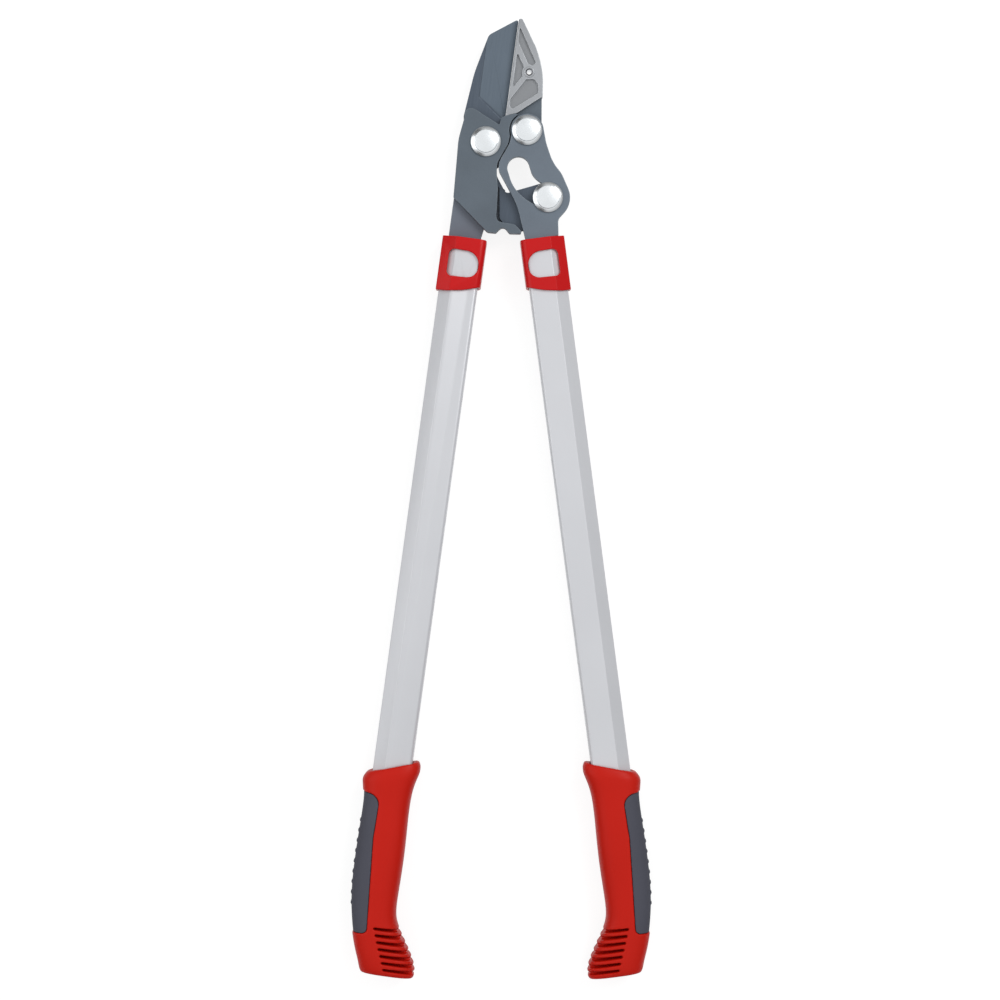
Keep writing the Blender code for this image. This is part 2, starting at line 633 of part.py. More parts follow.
def blade():
    made = piece("blade", prism([blade_outline(), circle(BLADE_PIVOT, BUSH_RADIUS + SEAT_GAP),
                                 circle(CAM_PIN, CAM_RADIUS + SEAT_GAP, 24)],
                                BLADE_BOTTOM, BLADE_TOP), BLADE_COATING)
    outline, ridge_low, ridge_high = grind_outline()
    slope = math.atan(GRIND_DEPTH / GRIND_WIDTH)
    front = prism([outline], BLADE_TOP, BLADE_TOP + 0.01)
    back = prism([outline], BLADE_BOTTOM - 0.01, BLADE_BOTTOM)
    boolean(made, cutter("front_grind", tilted(front, ridge_low, ridge_high, BLADE_TOP, slope)))
    boolean(made, cutter("back_grind", tilted(back, ridge_low, ridge_high, BLADE_BOTTOM, -slope)))
    return made


def cam_path():
    """Places of the cam bolt as the lever plate sees them, from closed to fully open."""
    steps = 16
    places = []
    for i in range(steps + 1):
        lever = LEVER_OPENING * i / steps
        turn = Matrix.Rotation(lever * BLADE_RATIO, 2)
        place = BLADE_PIVOT + turn @ (CAM_PIN - BLADE_PIVOT)
        places.append(Matrix.Rotation(-lever, 2) @ place)
    onward = (places[-1] - places[-2]).normalized()
    places.append(places[-1] + onward * SLOT_OVERRUN)
    return places


def cam_slot():
    """Outline at an even distance from the cam bolt's path, with round ends."""
    path = cam_path()
    left, right = [], []
    for i, place in enumerate(path):
        course = path[min(i + 1, len(path) - 1)] - path[max(i - 1, 0)]
        side = Vector((-course.y, course.x)).normalized() * CAM_SLOT_HALF
        left.append(place + side)
        right.append(place - side)
    out, back = right[-1] - path[-1], left[0] - path[0]
    far = math.degrees(math.atan2(out.y, out.x))
    near = math.degrees(math.atan2(back.y, back.x))
    far_end = arc(path[-1], CAM_SLOT_HALF, far, far + 180)[1:-1]
    near_end = arc(path[0], CAM_SLOT_HALF, near, near + 180)[1:-1]
    rim = [(p.x, p.y, 0.0) for p in right] + far_end
    rim += [(p.x, p.y, 0.0) for p in reversed(left)] + near_end
    return [(x, y) for x, y, _ in rim]


def lever_plate():
    """Plate of the moving side: eye, cam slot and the shank that goes into the right tube."""
    eye = arc(LEVER_PIVOT, EYE_RADIUS, 12, 195)
    inner = about(LEVER_PIVOT, (-0.0133, -0.0095, 0.014), (-0.0222, -0.0252, 0.012),
                  (-0.0222, -0.0317, 0.008))
    inner += about(CAM_PIN, (-0.0242, -0.0054, 0.050))
    outer = about(CAM_PIN, (0.0080, -0.0169, 0.006)) + arc(CAM_PIN, CAM_EYE_RADIUS, -40, 26)
    outer += about(CAM_PIN, (0.0107, 0.0188, 0.020), (0.0038, 0.0272, 0.030))
    outer += about(LEVER_PIVOT, (0.0149, -0.0100, 0.030))
    rim = rounded(eye + inner + tenon_corners("lever") + outer)
    eye_hole = circle(LEVER_PIVOT, BUSH_RADIUS + SEAT_GAP)
    mesh = prism([rim, eye_hole, cam_slot(), *rivet_holes("lever")], *shank_level("lever"))
    return piece("lever_plate", mesh, LEVER_STEEL)


def anvil_shank():
    """Flat steel held between the casting and the rear plate, and its tenon in the left tube."""
    top = about(BLADE_PIVOT, (-0.0230, -0.0166, 0.002), (-0.0111, -0.0166, 0.003),
                (-0.0110, -0.0400, 0.003))
    inner = about(CAM_PIN, (-0.0462, -0.0102, 0.004), (-0.0496, -0.0230, 0.020))
    outer = handle_corners("anvil", (SHANK_WIDTH / 2, CAM_DROP + 0.0019, 0.002))
    rim = rounded(top + inner + tenon_corners("anvil", SHANK_TAPER) + outer)
    holes = screw_holes(screw_places()[:3]) + rivet_holes("anvil")
    return piece("anvil_shank", prism([rim, *holes], *shank_level("anvil")), SHANK_STEEL)


def pivot_set(name, place):
    """Disc-headed bolt through the head, with its washer and lock nut behind."""
    washer_top = REAR_BOTTOM - SEAT_GAP
    nut_top = washer_top - WASHER_THICK - SEAT_GAP
    nut_bottom = nut_top - PIVOT_NUT_HEIGHT
    bolt = disc_bolt(f"{name}_bolt", place, PIVOT_RADIUS, 0.0)
    washer = ring(place, BOLT_HOLE, BOLT_HOLE + WASHER_WALL, washer_top - WASHER_THICK, washer_top)
    nut = prism([hexagon(place, PIVOT_NUT_FLATS), circle(place, BOLT_HOLE, 24)], nut_bottom, nut_top)
    return [bolt, piece(f"{name}_washer", washer, BRIGHT_ZINC), piece(f"{name}_nut", nut, BRIGHT_ZINC)]


def disc_bolt(name, place, radius, end):
    """Bolt with a stepped disc head on the front of the head, down to its end."""
    seat = FRONT_TOP + SEAT_GAP
    step = seat + HEAD_THICK
    profile = [(0.0, step + FACE_RISE), (FACE_RADIUS - EDGE_BREAK, step + FACE_RISE),
               (FACE_RADIUS, step + FACE_RISE - EDGE_BREAK), (FACE_RADIUS, step),
               (HEAD_RADIUS - EDGE_BREAK, step), (HEAD_RADIUS, step - EDGE_BREAK),
               (HEAD_RADIUS, seat), (radius, seat), (radius, end + EDGE_BREAK),
               (radius - EDGE_BREAK, end), (0.0, end)]
    return turned(name, profile, place, BRIGHT_ZINC)


def cam_set():
    """Cam bolt in the tang, its roller in the lever plate's slot, washer and nut behind."""
    washer_top = BLADE_BOTTOM - SEAT_GAP
    nut_top = washer_top - WASHER_THICK - SEAT_GAP
    nut_bottom = nut_top - CAM_NUT_HEIGHT
    hole = CAM_RADIUS + SEAT_GAP
    bolt = disc_bolt("cam_bolt", CAM_PIN, CAM_RADIUS, nut_bottom - CAM_THREAD_END)
    washer = ring(CAM_PIN, hole, hole + WASHER_WALL, washer_top - WASHER_THICK, washer_top)
    nut = prism([hexagon(CAM_PIN, CAM_NUT_FLATS), circle(CAM_PIN, hole, 24)], nut_bottom, nut_top)
    return [bolt, piece("cam_washer", washer, BRIGHT_ZINC), piece("cam_nut", nut, BRIGHT_ZINC)]


def cam_roller():
    mesh = ring(CAM_PIN, CAM_RADIUS + SEAT_GAP, CAM_SLOT_HALF - CAM_GAP, FRONT_BOTTOM, FRONT_TOP)
    return piece("cam_roller", mesh, BRIGHT_ZINC)


def bushing(name, place, low, high):
    return piece(name, ring(place, BOLT_HOLE, BUSH_RADIUS, low, high), BUSH_BRONZE)


def collar(side):
    """Plastic sleeve over the tube's end: closed top with a slot, a window on each face."""
    frame = handle_frame(side)
    skin = COLLAR_WALL + SEAT_GAP
    end = COLLAR_TOP + COLLAR_LENGTH
    sleeve = prism([tube_section(side, skin)], COLLAR_TOP, end, frame)
    made = piece(f"{side}_collar", sleeve, RED_PLASTIC)
    hollow = prism([tube_section(side, SEAT_GAP)], TUBE_TOP - SEAT_GAP, end + CUT, frame)
    boolean(made, cutter(f"{side}_collar_hollow", hollow))
    low, high = shank_level(side)
    half = TENON_WIDTH / 2 + SEAT_GAP
    slot = handle_corners(side, (TENON_OFFSET - half, COLLAR_TOP - CUT, 0.0),
                          (TENON_OFFSET + half, COLLAR_TOP - CUT, 0.0),
                          (TENON_OFFSET + half, TUBE_TOP + CUT, 0.0),
                          (TENON_OFFSET - half, TUBE_TOP + CUT, 0.0))
    tenon_slot = prism([rounded(slot)], low - SEAT_GAP, high + SEAT_GAP)
    boolean(made, cutter(f"{side}_tenon_slot", tenon_slot))
    wide = TUBE_WIDTH / 2 + skin
    lean = COLLAR_SLANT / (2 * wide)
    outside = wide + CUT
    slant = handle_corners(side, (-outside, end - COLLAR_SLANT - CUT * lean, 0.0),
                           (-wide / 4, end - COLLAR_SLANT * 0.6 + COLLAR_SAG, 0.04),
                           (wide / 2, end - COLLAR_SLANT / 4 + COLLAR_SAG, 0.03),
                           (outside, end + CUT * lean, 0.0), (outside, end + 3 * CUT, 0.0),
                           (-outside, end + 3 * CUT, 0.0))
    through = (HANDLE_Z - TUBE_THICK, HANDLE_Z + TUBE_THICK)
    boolean(made, cutter(f"{side}_collar_slant", prism([rounded(slant)], *through)))
    top = COLLAR_TOP + WINDOW_START
    bottom = top + WINDOW_LENGTH
    window = handle_corners(side, (WINDOW_OUTER, top, WINDOW_CORNER),
                            (WINDOW_INNER, top + 0.0012, WINDOW_LENGTH * 0.42),
                            (WINDOW_INNER, bottom - 0.0008, WINDOW_LENGTH * 0.32),
                            (WINDOW_OUTER, bottom, WINDOW_CORNER))
    boolean(made, cutter(f"{side}_collar_window", prism([rounded(window)], *through)))
    return made


def insert(side):
    """Nylon block that fills the tube's end around the flat tenon."""
    frame = handle_frame(side)
    low, high = shank_level(side)
    left = TENON_OFFSET - TENON_WIDTH / 2 - SEAT_GAP
    right = TENON_OFFSET + TENON_WIDTH / 2 + SEAT_GAP
    bottom, top = low - SEAT_GAP - HANDLE_Z, high + SEAT_GAP - HANDLE_Z
    slot = [(OUTWARD[side] * u, z) for u, z in ((left, bottom), (right, bottom), (right, top), (left, top))]
    rim = tube_section(side, -TUBE_WALL - SEAT_GAP, TUBE_CORNER / 2)
    mesh = prism([rim, slot], TUBE_TOP, TUBE_TOP + INSERT_LENGTH, frame)
    made = piece(f"{side}_insert", mesh, GREY_NYLON)
    drill_for_rivets(made, side)
    return made


def drill_for_rivets(target, side):
    for number, place in enumerate(rivet_places(side), 1):
        hole = rod(place, RIVET_RADIUS + HOLE_GAP, HANDLE_Z - TUBE_THICK, HANDLE_Z + TUBE_THICK, 16)
        boolean(target, cutter(f"{target.name}_drill_{number}", hole))


def tube(side):
    walls = [tube_section(side), tube_section(side, -TUBE_WALL, TUBE_CORNER / 2)]
    made = piece(f"{side}_tube", prism(walls, TUBE_TOP, TUBE_BOTTOM, handle_frame(side)), SILVER_PAINT)
    drill_for_rivets(made, side)
    return made


def rivets(side):
    """Flush rivets through the tube, the insert and the tenon, under the collar."""
    half = TUBE_THICK / 2
    return [piece(f"{side}_rivet_{n}", rod(place, RIVET_RADIUS, HANDLE_Z - half, HANDLE_Z + half, 16),
                  BRIGHT_ZINC)
            for n, place in enumerate(rivet_places(side), 1)]


def grip_stations():
    """Down the grip: distance, lean of the section, how far it stands out from the tube's inner
    and outer edges, and how much thinner than the grip's full thickness each face is."""
    end = GRIP_LENGTH
    return [
        (-0.0046, 0.33, 0.0030, 0.0026, 0.0031),
        (-0.0012, 0.31, 0.0058, 0.0056, 0.0022),
        (0.0010, 0.29, 0.0067, 0.0070, 0.0014),
        (0.0036, 0.26, 0.0070, 0.0071, 0.0010),
        (0.012, 0.20, 0.0034, 0.0054, 0.0012),
        (0.025, 0.05, 0.0020, 0.0045, 0.0012),
        (0.052, 0.00, 0.0033, 0.0053, 0.0002),
        (0.072, 0.00, 0.0035, 0.0055, 0.0000),
        (0.090, 0.00, 0.0030, 0.0051, 0.0003),
        (end - 0.0513, 0.00, 0.0026, 0.0034, 0.0008),
        (end - 0.0413, 0.00, 0.0043, 0.0015, 0.0010),
        (end - 0.0293, 0.00, 0.0120, -0.0010, 0.0012),
        (end - 0.0173, 0.00, 0.0196, -0.0047, 0.0015),
        (end - 0.0090, 0.00, 0.0235, -0.0082, 0.0020),
        (end - 0.0025, 0.00, 0.0239, -0.0101, 0.0035),
        (end, 0.00, 0.0227, -0.0117, 0.0055),
    ]


def inner_edge(down):
    """Where the grip's inner side lies at a distance down it."""
    stations = grip_stations()
    for (above, _, first, *_), (below, _, second, *_) in zip(stations, stations[1:]):
        if down <= below:
            share = (down - above) / (below - above)
            return -TUBE_WIDTH / 2 - first - (second - first) * share
    return -TUBE_WIDTH / 2 - stations[-1][2]


def vent_plans(number):
    """Plans of one vent: its slot, and the notch at the edge down to the next rib's hook."""
    middle = GRIP_LENGTH - VENT_RISE + number * VENT_PITCH
    low, high = middle - VENT_WIDTH / 2, middle + VENT_WIDTH / 2
    start = -VENT_REACH - number * VENT_STEP
    hook = min(low + VENT_PITCH - RIB_HOOK, GRIP_LENGTH - LAST_RIB)
    far = -2 * TUBE_WIDTH
    slot = [(start, low), (far, low), (far, high), (start, high)]
    top = low + JOIN_INSET
    notch = [(inner_edge(top) + NOTCH_DEPTH, top), (far, top), (far, hook),
             (inner_edge(hook) + HOOK_STEP, hook)]
    return [[(u, GRIP_TOP + down, 0.0) for u, down in plan] for plan in (slot, notch)]


def grip_blank(side, inset=0.0):
    """Loft through the grip's sections, each drawn in by inset."""
    edit = bmesh.new()
    rings = []
    for down, lean, inner, outer, thinner in grip_stations():
        middle, width = (outer - inner) / 2, (TUBE_WIDTH + inner + outer) / 2 - inset
        half = GRIP_THICK / 2 - thinner - inset
        loop = []
        for i in range(GRIP_SIDES):
            turn = 2 * math.pi * i / GRIP_SIDES
            across = math.copysign(abs(math.cos(turn)) ** (2 / GRIP_SQUARE), math.cos(turn))
            rise = math.copysign(abs(math.sin(turn)) ** (2 / GRIP_SQUARE), math.sin(turn))
            u = middle + width * across
            x, y = handle_point(side, u, GRIP_TOP + down + lean * u)
            loop.append(edit.verts.new((x, y, HANDLE_Z + half * rise)))
        rings.append(loop)
    for upper, lower in zip(rings, rings[1:]):
        for i in range(GRIP_SIDES):
            k = (i + 1) % GRIP_SIDES
            edit.faces.new((upper[i], upper[k], lower[k], lower[i]))
    edit.faces.new(rings[0])
    edit.faces.new(rings[-1])
    bmesh.ops.recalc_face_normals(edit, faces=edit.faces)
    mesh = bpy.data.meshes.new(f"{side}_grip_blank")
    edit.to_mesh(mesh)
    edit.free()
    return mesh


def pad_zone(side, grow):
    """Outer part of the grip that the soft pad covers, seen from the front."""
    start = GRIP_TOP + PAD_START - grow
    end = GRIP_TOP + GRIP_LENGTH - PAD_RISE + grow
    edge = TUBE_WIDTH / 2 - PAD_INSET - grow
    outside = TUBE_WIDTH
    corners = handle_corners(side, (outside, start - 0.002, 0.0), (edge, start, 0.009),
                             (edge + 0.001, start + (end - start) * 0.3, 0.05),
                             (edge - 0.0038, end - 0.003, 0.004), (outside, end + 0.001, 0.0))
    return prism([rounded(corners)], -GRIP_THICK, 2 * GRIP_THICK)


def pad(side):
    """Soft outer half of the grip, moulded round its side from the front to the back."""
    made = piece(f"{side}_grip_pad", grip_blank(side), SOFT_GREY)
    boolean(made, cutter(f"{side}_pad_zone", pad_zone(side, 0.0)), "INTERSECT")
    core = grip_blank(side, PAD_THICK - SEAT_GAP)
    boolean(made, cutter(f"{side}_pad_core", core))
    return made


def grip(side):
    """Hard grip: a bore for the tube, a recess for the pad and vents in its flared foot."""
    made = piece(f"{side}_grip", grip_blank(side), RED_PLASTIC)
    recess = cutter(f"{side}_pad_recess", pad_zone(side, SEAT_GAP))
    boolean(recess, cutter(f"{side}_recess_core", grip_blank(side, PAD_THICK)))
    boolean(made, recess)
    bore = prism([tube_section(side, SEAT_GAP)], GRIP_TOP - 0.03, TUBE_BOTTOM + SEAT_GAP, handle_frame(side))
    boolean(made, cutter(f"{side}_grip_bore", bore))
    for number in range(VENT_COUNT):
        slot, notch = (rounded(handle_corners(side, *plan)) for plan in vent_plans(number))
        back = prism([slot], -CUT, HANDLE_Z - VENT_WEB / 2)
        front = prism([slot], HANDLE_Z + VENT_WEB / 2, GRIP_THICK + CUT)
        edge = prism([notch], -CUT, GRIP_THICK + CUT)
        for place, shape in (("back", back), ("front", front), ("edge", edge)):
            boolean(made, cutter(f"{side}_vent_{number + 1}_{place}", shape))
    return made


def handle(side):
    return [collar(side), insert(side), tube(side), grip(side), pad(side), *rivets(side)]


def anvil_lopper():
    head_casting()
    rear_plate()
    rear_screws()
    anvil()
    anvil_pin()
    anvil_shank()
    pivot_set("blade_pivot", BLADE_PIVOT)
    pivot_set("lever_pivot", LEVER_PIVOT)
    handle("anvil")
    lever_bushing = bushing("lever_bushing", LEVER_PIVOT, FRONT_BOTTOM, FRONT_TOP)
    hang("lever_axis", LEVER_PIVOT, [lever_plate(), lever_bushing, *handle("lever")])
    blade_bushing = bushing("blade_bushing", BLADE_PIVOT, BLADE_BOTTOM, BLADE_TOP)
    hang("blade_axis", BLADE_PIVOT, [blade(), blade_bushing, *cam_set()])
    hang("roller_axis", CAM_PIN, [cam_roller()])


anvil_lopper()
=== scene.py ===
import math

import bmesh
import bpy
from mathutils import Matrix, Vector


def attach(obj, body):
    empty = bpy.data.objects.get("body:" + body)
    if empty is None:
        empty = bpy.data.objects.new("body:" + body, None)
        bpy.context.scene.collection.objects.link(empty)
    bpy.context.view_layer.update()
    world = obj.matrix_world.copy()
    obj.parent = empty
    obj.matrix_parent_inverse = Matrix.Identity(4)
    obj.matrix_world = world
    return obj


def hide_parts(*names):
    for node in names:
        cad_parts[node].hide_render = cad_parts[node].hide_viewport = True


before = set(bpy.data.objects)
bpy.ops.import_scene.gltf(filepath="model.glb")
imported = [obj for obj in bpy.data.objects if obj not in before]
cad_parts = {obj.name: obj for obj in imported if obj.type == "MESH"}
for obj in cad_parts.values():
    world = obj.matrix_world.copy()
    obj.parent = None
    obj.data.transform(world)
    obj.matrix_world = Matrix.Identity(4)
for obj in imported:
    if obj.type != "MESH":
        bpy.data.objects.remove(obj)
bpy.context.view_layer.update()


# Head casting
# One die casting in zinc alloy: the front cheek, the carrier under the anvil and the wall that
# stops the tang. Its edges are tumbled round and it is powder-coated in a fine grey grain.

LEVER_PIVOT = Vector((0.0, 0.0, 0.0))
BLADE_PIVOT = Vector((-0.0322, -0.0089, 0.0))
CAM_PIN = Vector((0.0162, -0.0524, 0.0))
CASTING_GREY = (0.100, 0.126, 0.154)
# CASTING_EDGE lightens grain flecks and edges; on the edges it stands partly for wear, partly for a painted
# highlight.
CASTING_EDGE = (0.30, 0.34, 0.38)
CASTING_ROUND = 0.0006
FRONT_LOW, FRONT_HIGH = 0.0173, 0.0233
MIDDLE_LOW, MIDDLE_HIGH = 0.0130, 0.0170
REAR_LOW, REAR_HIGH = 0.0087, 0.0127
EYE_RADIUS = 0.0129
ANVIL_HEEL = Vector((-0.0165, 0.0117, 0.0))
ANVIL_TIP = Vector((-0.0064, 0.0865, 0.0))
ANVIL_PIN = Vector((0.0016, 0.0457, 0.0))
ALONG_ANVIL = (ANVIL_TIP - ANVIL_HEEL).normalized()
INTO_ANVIL = Vector((ALONG_ANVIL.y, -ALONG_ANVIL.x, 0.0))
TILTS = {"lever": math.radians(7.4), "anvil": math.radians(7.8)}
AXES = {"lever": 0.0007, "anvil": -0.0370}
OUTWARD = {"lever": 1.0, "anvil": -1.0}
SMOOTH_ANGLE = math.radians(32)
FLANK_FALL = 0.0041
BOLT_HOLE = 0.0053
PIN_HOLE = 0.0028


def pick(piece):
    """Leaves only this piece selected, and makes it the active one."""
    bpy.ops.object.select_all(action="DESELECT")
    bpy.context.view_layer.objects.active = piece
    piece.select_set(True)


def modify(piece, kind, **settings):
    """Gives a piece one modifier with its settings and applies it."""
    step = piece.modifiers.new("step", kind)
    for label, value in settings.items():
        setattr(step, label, value)
    pick(piece)
    bpy.ops.object.modifier_apply(modifier=step.name)


def started(name, add, **how):
    """A new piece begun from a primitive, the only one selected."""
    bpy.ops.object.select_all(action="DESELECT")
    add(**how)
    bpy.context.object.name = name
    return bpy.context.object


def open_mesh(piece):
    """Opens a piece in edit mode with all of it selected."""
    pick(piece)
    bpy.ops.object.mode_set(mode="EDIT")
    bpy.ops.mesh.select_all(action="SELECT")


def close_mesh():
    """Turns every face of the open piece outward and leaves edit mode."""
    bpy.ops.mesh.select_all(action="SELECT")
    bpy.ops.mesh.normals_make_consistent(inside=False)
    bpy.ops.object.mode_set(mode="OBJECT")


def arc(centre, radius, start, end):
    """Corners along an arc, in degrees, at most 6 degrees apart."""
    count = max(2, math.ceil(abs(end - start) / 6.0))
    turns = [math.radians(start + (end - start) * i / count) for i in range(count + 1)]
    return [(centre.x + radius * math.cos(a), centre.y + radius * math.sin(a), 0.0) for a in turns]


def about(anchor, *corners):
    """Corners (x, y, radius) given from an anchor point."""
    return [(anchor.x + x, anchor.y + y, radius) for x, y, radius in corners]


def sharp(points):
    """Corners without a rounding."""
    return [(point.x, point.y, 0.0) for point in points]


def on_handle(side, out, down):
    """A point so far out from a handle's axis and down it."""
    tilt = TILTS[side]
    return (AXES[side] + OUTWARD[side] * (out * math.cos(tilt) + down * math.sin(tilt)),
            out * math.sin(tilt) - down * math.cos(tilt))


def select_near(place):
    """In edit mode, selects only the vertices at a place seen from above."""
    shape = bmesh.from_edit_mesh(bpy.context.edit_object.data)
    for vertex in shape.verts:
        vertex.select = (vertex.co.xy - place).length < 0.00002
    shape.select_flush_mode()
    bmesh.update_edit_mesh(bpy.context.edit_object.data)


def drawn_plate(name, corners, low, high, steps=7):
    """A plate drawn corner by corner (x, y, radius), its corners rounded, then extruded."""
    piece = started(name, bpy.ops.mesh.primitive_circle_add, vertices=len(corners), fill_type="NGON")
    for vertex, (x, y, _) in zip(piece.data.vertices, corners):
        vertex.co = (x, y, low)
    points = [Vector(corner[:2]) for corner in corners]
    asked = []
    for number, (_, _, radius) in enumerate(corners):
        back = points[number - 1] - points[number]
        ahead = points[(number + 1) % len(points)] - points[number]
        asked.append(radius / math.tan(back.angle(ahead) / 2) if radius > 0 else 0.0)
    given = list(asked)
    for number in range(len(points)):
        room = 0.98 * (points[number] - points[number - 1]).length
        both = asked[number] + asked[number - 1]
        if both > room:
            for end in (number, number - 1):
                given[end] = min(given[end], asked[end] * room / both)
    open_mesh(piece)
    for point, reach in zip(points, given):
        if reach > 0:
            select_near(point)
            bpy.ops.mesh.bevel(offset=reach, offset_type="OFFSET", segments=steps, affect="VERTICES",
                               clamp_overlap=False)
    bpy.ops.mesh.select_all(action="SELECT")
    bpy.ops.mesh.extrude_region_move(TRANSFORM_OT_translate={"value": (0.0, 0.0, high - low)})
    close_mesh()
    return piece


def round_bar(place, radius, sides=48):
    """An upright cylinder through the whole tool, for cutting a hole."""
    bar = started("bar", bpy.ops.mesh.primitive_cylinder_add, vertices=sides, radius=radius,
                  depth=0.03, location=(place[0], place[1], 0.015))
    bpy.ops.object.transform_apply(location=True)
    return bar


def combine(piece, tool, operation="DIFFERENCE"):
    """Cuts, joins or crosses a piece with a tool, which is then thrown away."""
    modify(piece, "BOOLEAN", operation=operation, object=tool)
    bpy.data.objects.remove(tool)
    return piece


def shade_flats(piece):
    """Smooth shading in which the flats stay flat and only the rounded edges shade off."""
    pick(piece)
    bpy.ops.mesh.customdata_custom_splitnormals_clear()
    bpy.ops.object.shade_smooth(keep_sharp_edges=True)
    modify(piece, "WEIGHTED_NORMAL", weight=100, keep_sharp=True)
    return piece


def mark_faces(piece, name, test):
    """Writes a test's value on each face, as an attribute that the material reads."""
    mark = piece.data.attributes.new(name, "FLOAT", "FACE")
    for face in piece.data.polygons:
        mark.data[face.index].value = float(test(face))


def break_edges(piece, width, steps=2, angle=SMOOTH_ANGLE):
    """Rounds the piece's sharp edges and marks the new faces in the attribute edge."""
    piece.data.materials.clear()
    piece.data.materials.append(None)
    piece.data.materials.append(None)
    modify(piece, "BEVEL", width=width, segments=steps, limit_method="ANGLE", angle_limit=angle,
           use_clamp_overlap=False, miter_outer="MITER_ARC", material=1)
    mark_faces(piece, "edge", lambda face: face.material_index)
    piece.data.polygons.foreach_set("material_index", [0] * len(piece.data.polygons))
    piece.data.materials.clear()
    return shade_flats(piece)


def new_group(name, inputs, outputs):
    """An empty shader node group with its sockets; inputs are (name, kind, default)."""
    group = bpy.data.node_groups.new(name, "ShaderNodeTree")
    for label, kind, default in inputs:
        socket = group.interface.new_socket(label, in_out="INPUT", socket_type=f"NodeSocket{kind}")
        socket.default_value = default
    for label, kind in outputs:
        group.interface.new_socket(label, in_out="OUTPUT", socket_type=f"NodeSocket{kind}")
    return group, group.nodes.new("NodeGroupInput"), group.nodes.new("NodeGroupOutput")


def feed(tree, value, entry):
    """Links a socket to a node's entry, or writes a plain value into it."""
    if isinstance(value, bpy.types.NodeSocket):
        tree.links.new(value, entry)
    else:
        entry.default_value = value


def add_math(tree, operation, first, second):
    """A Math node; each operand is a socket or a number."""
    node = tree.nodes.new("ShaderNodeMath")
    node.operation = operation
    feed(tree, first, node.inputs[0])
    feed(tree, second, node.inputs[1])
    return node.outputs[0]


def add_noise(tree, vector, scale, detail, roughness=0.55):
    node = tree.nodes.new("ShaderNodeTexNoise")
    node.inputs["Detail"].default_value = detail
    node.inputs["Roughness"].default_value = roughness
    tree.links.new(vector, node.inputs["Vector"])
    feed(tree, scale, node.inputs["Scale"])
    return node.outputs["Fac"]


def add_range(tree, value, low, high, to_low=0.0, to_high=1.0):
    node = tree.nodes.new("ShaderNodeMapRange")
    for label, number in (("From Min", low), ("From Max", high), ("To Min", to_low), ("To Max", to_high)):
        node.inputs[label].default_value = number
    tree.links.new(value, node.inputs["Value"])
    return node.outputs["Result"]


def add_mix(tree, factor, first, second):
    """A colour Mix node; factor, first and second are sockets, numbers or colours."""
    node = tree.nodes.new("ShaderNodeMix")
    node.data_type = "RGBA"
    for slot, value in ((0, factor), (6, first), (7, second)):
        feed(tree, (*value, 1.0) if isinstance(value, tuple) else value, node.inputs[slot])
    return node.outputs[2]


def read_mark(tree, name):
    """The value that mark_faces wrote under a name."""
    node = tree.nodes.new("ShaderNodeAttribute")
    node.attribute_name = name
    return node.outputs["Fac"]


def toned(colour, factor):
    """A colour made darker or lighter by a factor."""
    return tuple(factor * c for c in colour)


def make_grain_group():
    """Fine grain: a height for the bump, a small change of shade and slow clouds of tone."""
    group, ins, outs = new_group(
        "fine_grain", [("Size", "Float", 1500.0), ("Clouds", "Float", 25.0)],
        [("Height", "Float"), ("Shade", "Float"), ("Cloud", "Float")])
    place = group.nodes.new("ShaderNodeTexCoord").outputs["Object"]
    fine = add_noise(group, place, ins.outputs["Size"], 4.0)
    slow = add_noise(group, place, ins.outputs["Clouds"], 3.0, 0.5)
    group.links.new(fine, outs.inputs["Height"])
    group.links.new(add_range(group, fine, 0.3, 0.7), outs.inputs["Shade"])
    group.links.new(add_range(group, slow, 0.3, 0.7), outs.inputs["Cloud"])
    return group


def make_wear_and_highlight_group():
    """Lighter edges, partly wear and partly a painted highlight: the marked faces, broken up by two sizes of
    noise.
    """
    group, ins, outs = new_group(
        "worn_and_highlit_edges", [("Amount", "Float", 0.5), ("Size", "Float", 220.0)], [("Mask", "Float")])
    place = group.nodes.new("ShaderNodeTexCoord").outputs["Object"]
    patches = add_noise(group, place, ins.outputs["Size"], 4.0, 0.6)
    # The edge faces are made lighter: partly wear, partly a painted highlight.
    worn_and_lit = add_math(group, "MULTIPLY", read_mark(group, "edge"), add_range(group, patches, 0.35, 0.65))
    group.links.new(add_math(group, "MULTIPLY", worn_and_lit, ins.outputs["Amount"]), outs.inputs["Mask"])
    return group


fine_grain = make_grain_group()
worn_and_highlit_edges = make_wear_and_highlight_group()


def use_group(material, group, **values):
    node = material.node_tree.nodes.new("ShaderNodeGroup")
    node.node_tree = group
    for label, value in values.items():
        node.inputs[label].default_value = value
    return node.outputs


def new_material(name, roughness, metallic=0.0, specular=0.5, coat=0.0):
    """A material with its shader's constant sockets set; returns it with its tree and shader."""
    material = bpy.data.materials.new(name)
    material.use_nodes = True
    shader = material.node_tree.nodes["Principled BSDF"]
    shader.inputs["Roughness"].default_value = roughness
    shader.inputs["Metallic"].default_value = metallic
    shader.inputs["Specular IOR Level"].default_value = specular
    shader.inputs["Coat Weight"].default_value = coat
    return material, material.node_tree, shader


def wire_up(tree, shader, colour, height, depth, shade=None, at_low=0.0, at_high=0.0):
    """Links the colour and the bump, and the roughness too where it follows a shade."""
    tree.links.new(colour, shader.inputs["Base Color"])
    if shade is not None:
        tree.links.new(add_range(tree, shade, 0.0, 1.0, at_low, at_high), shader.inputs["Roughness"])
    bump = tree.nodes.new("ShaderNodeBump")
    bump.inputs["Distance"].default_value = depth
    bump.inputs["Strength"].default_value = 1.0
    tree.links.new(height, bump.inputs["Height"])
    tree.links.new(bump.outputs["Normal"], shader.inputs["Normal"])


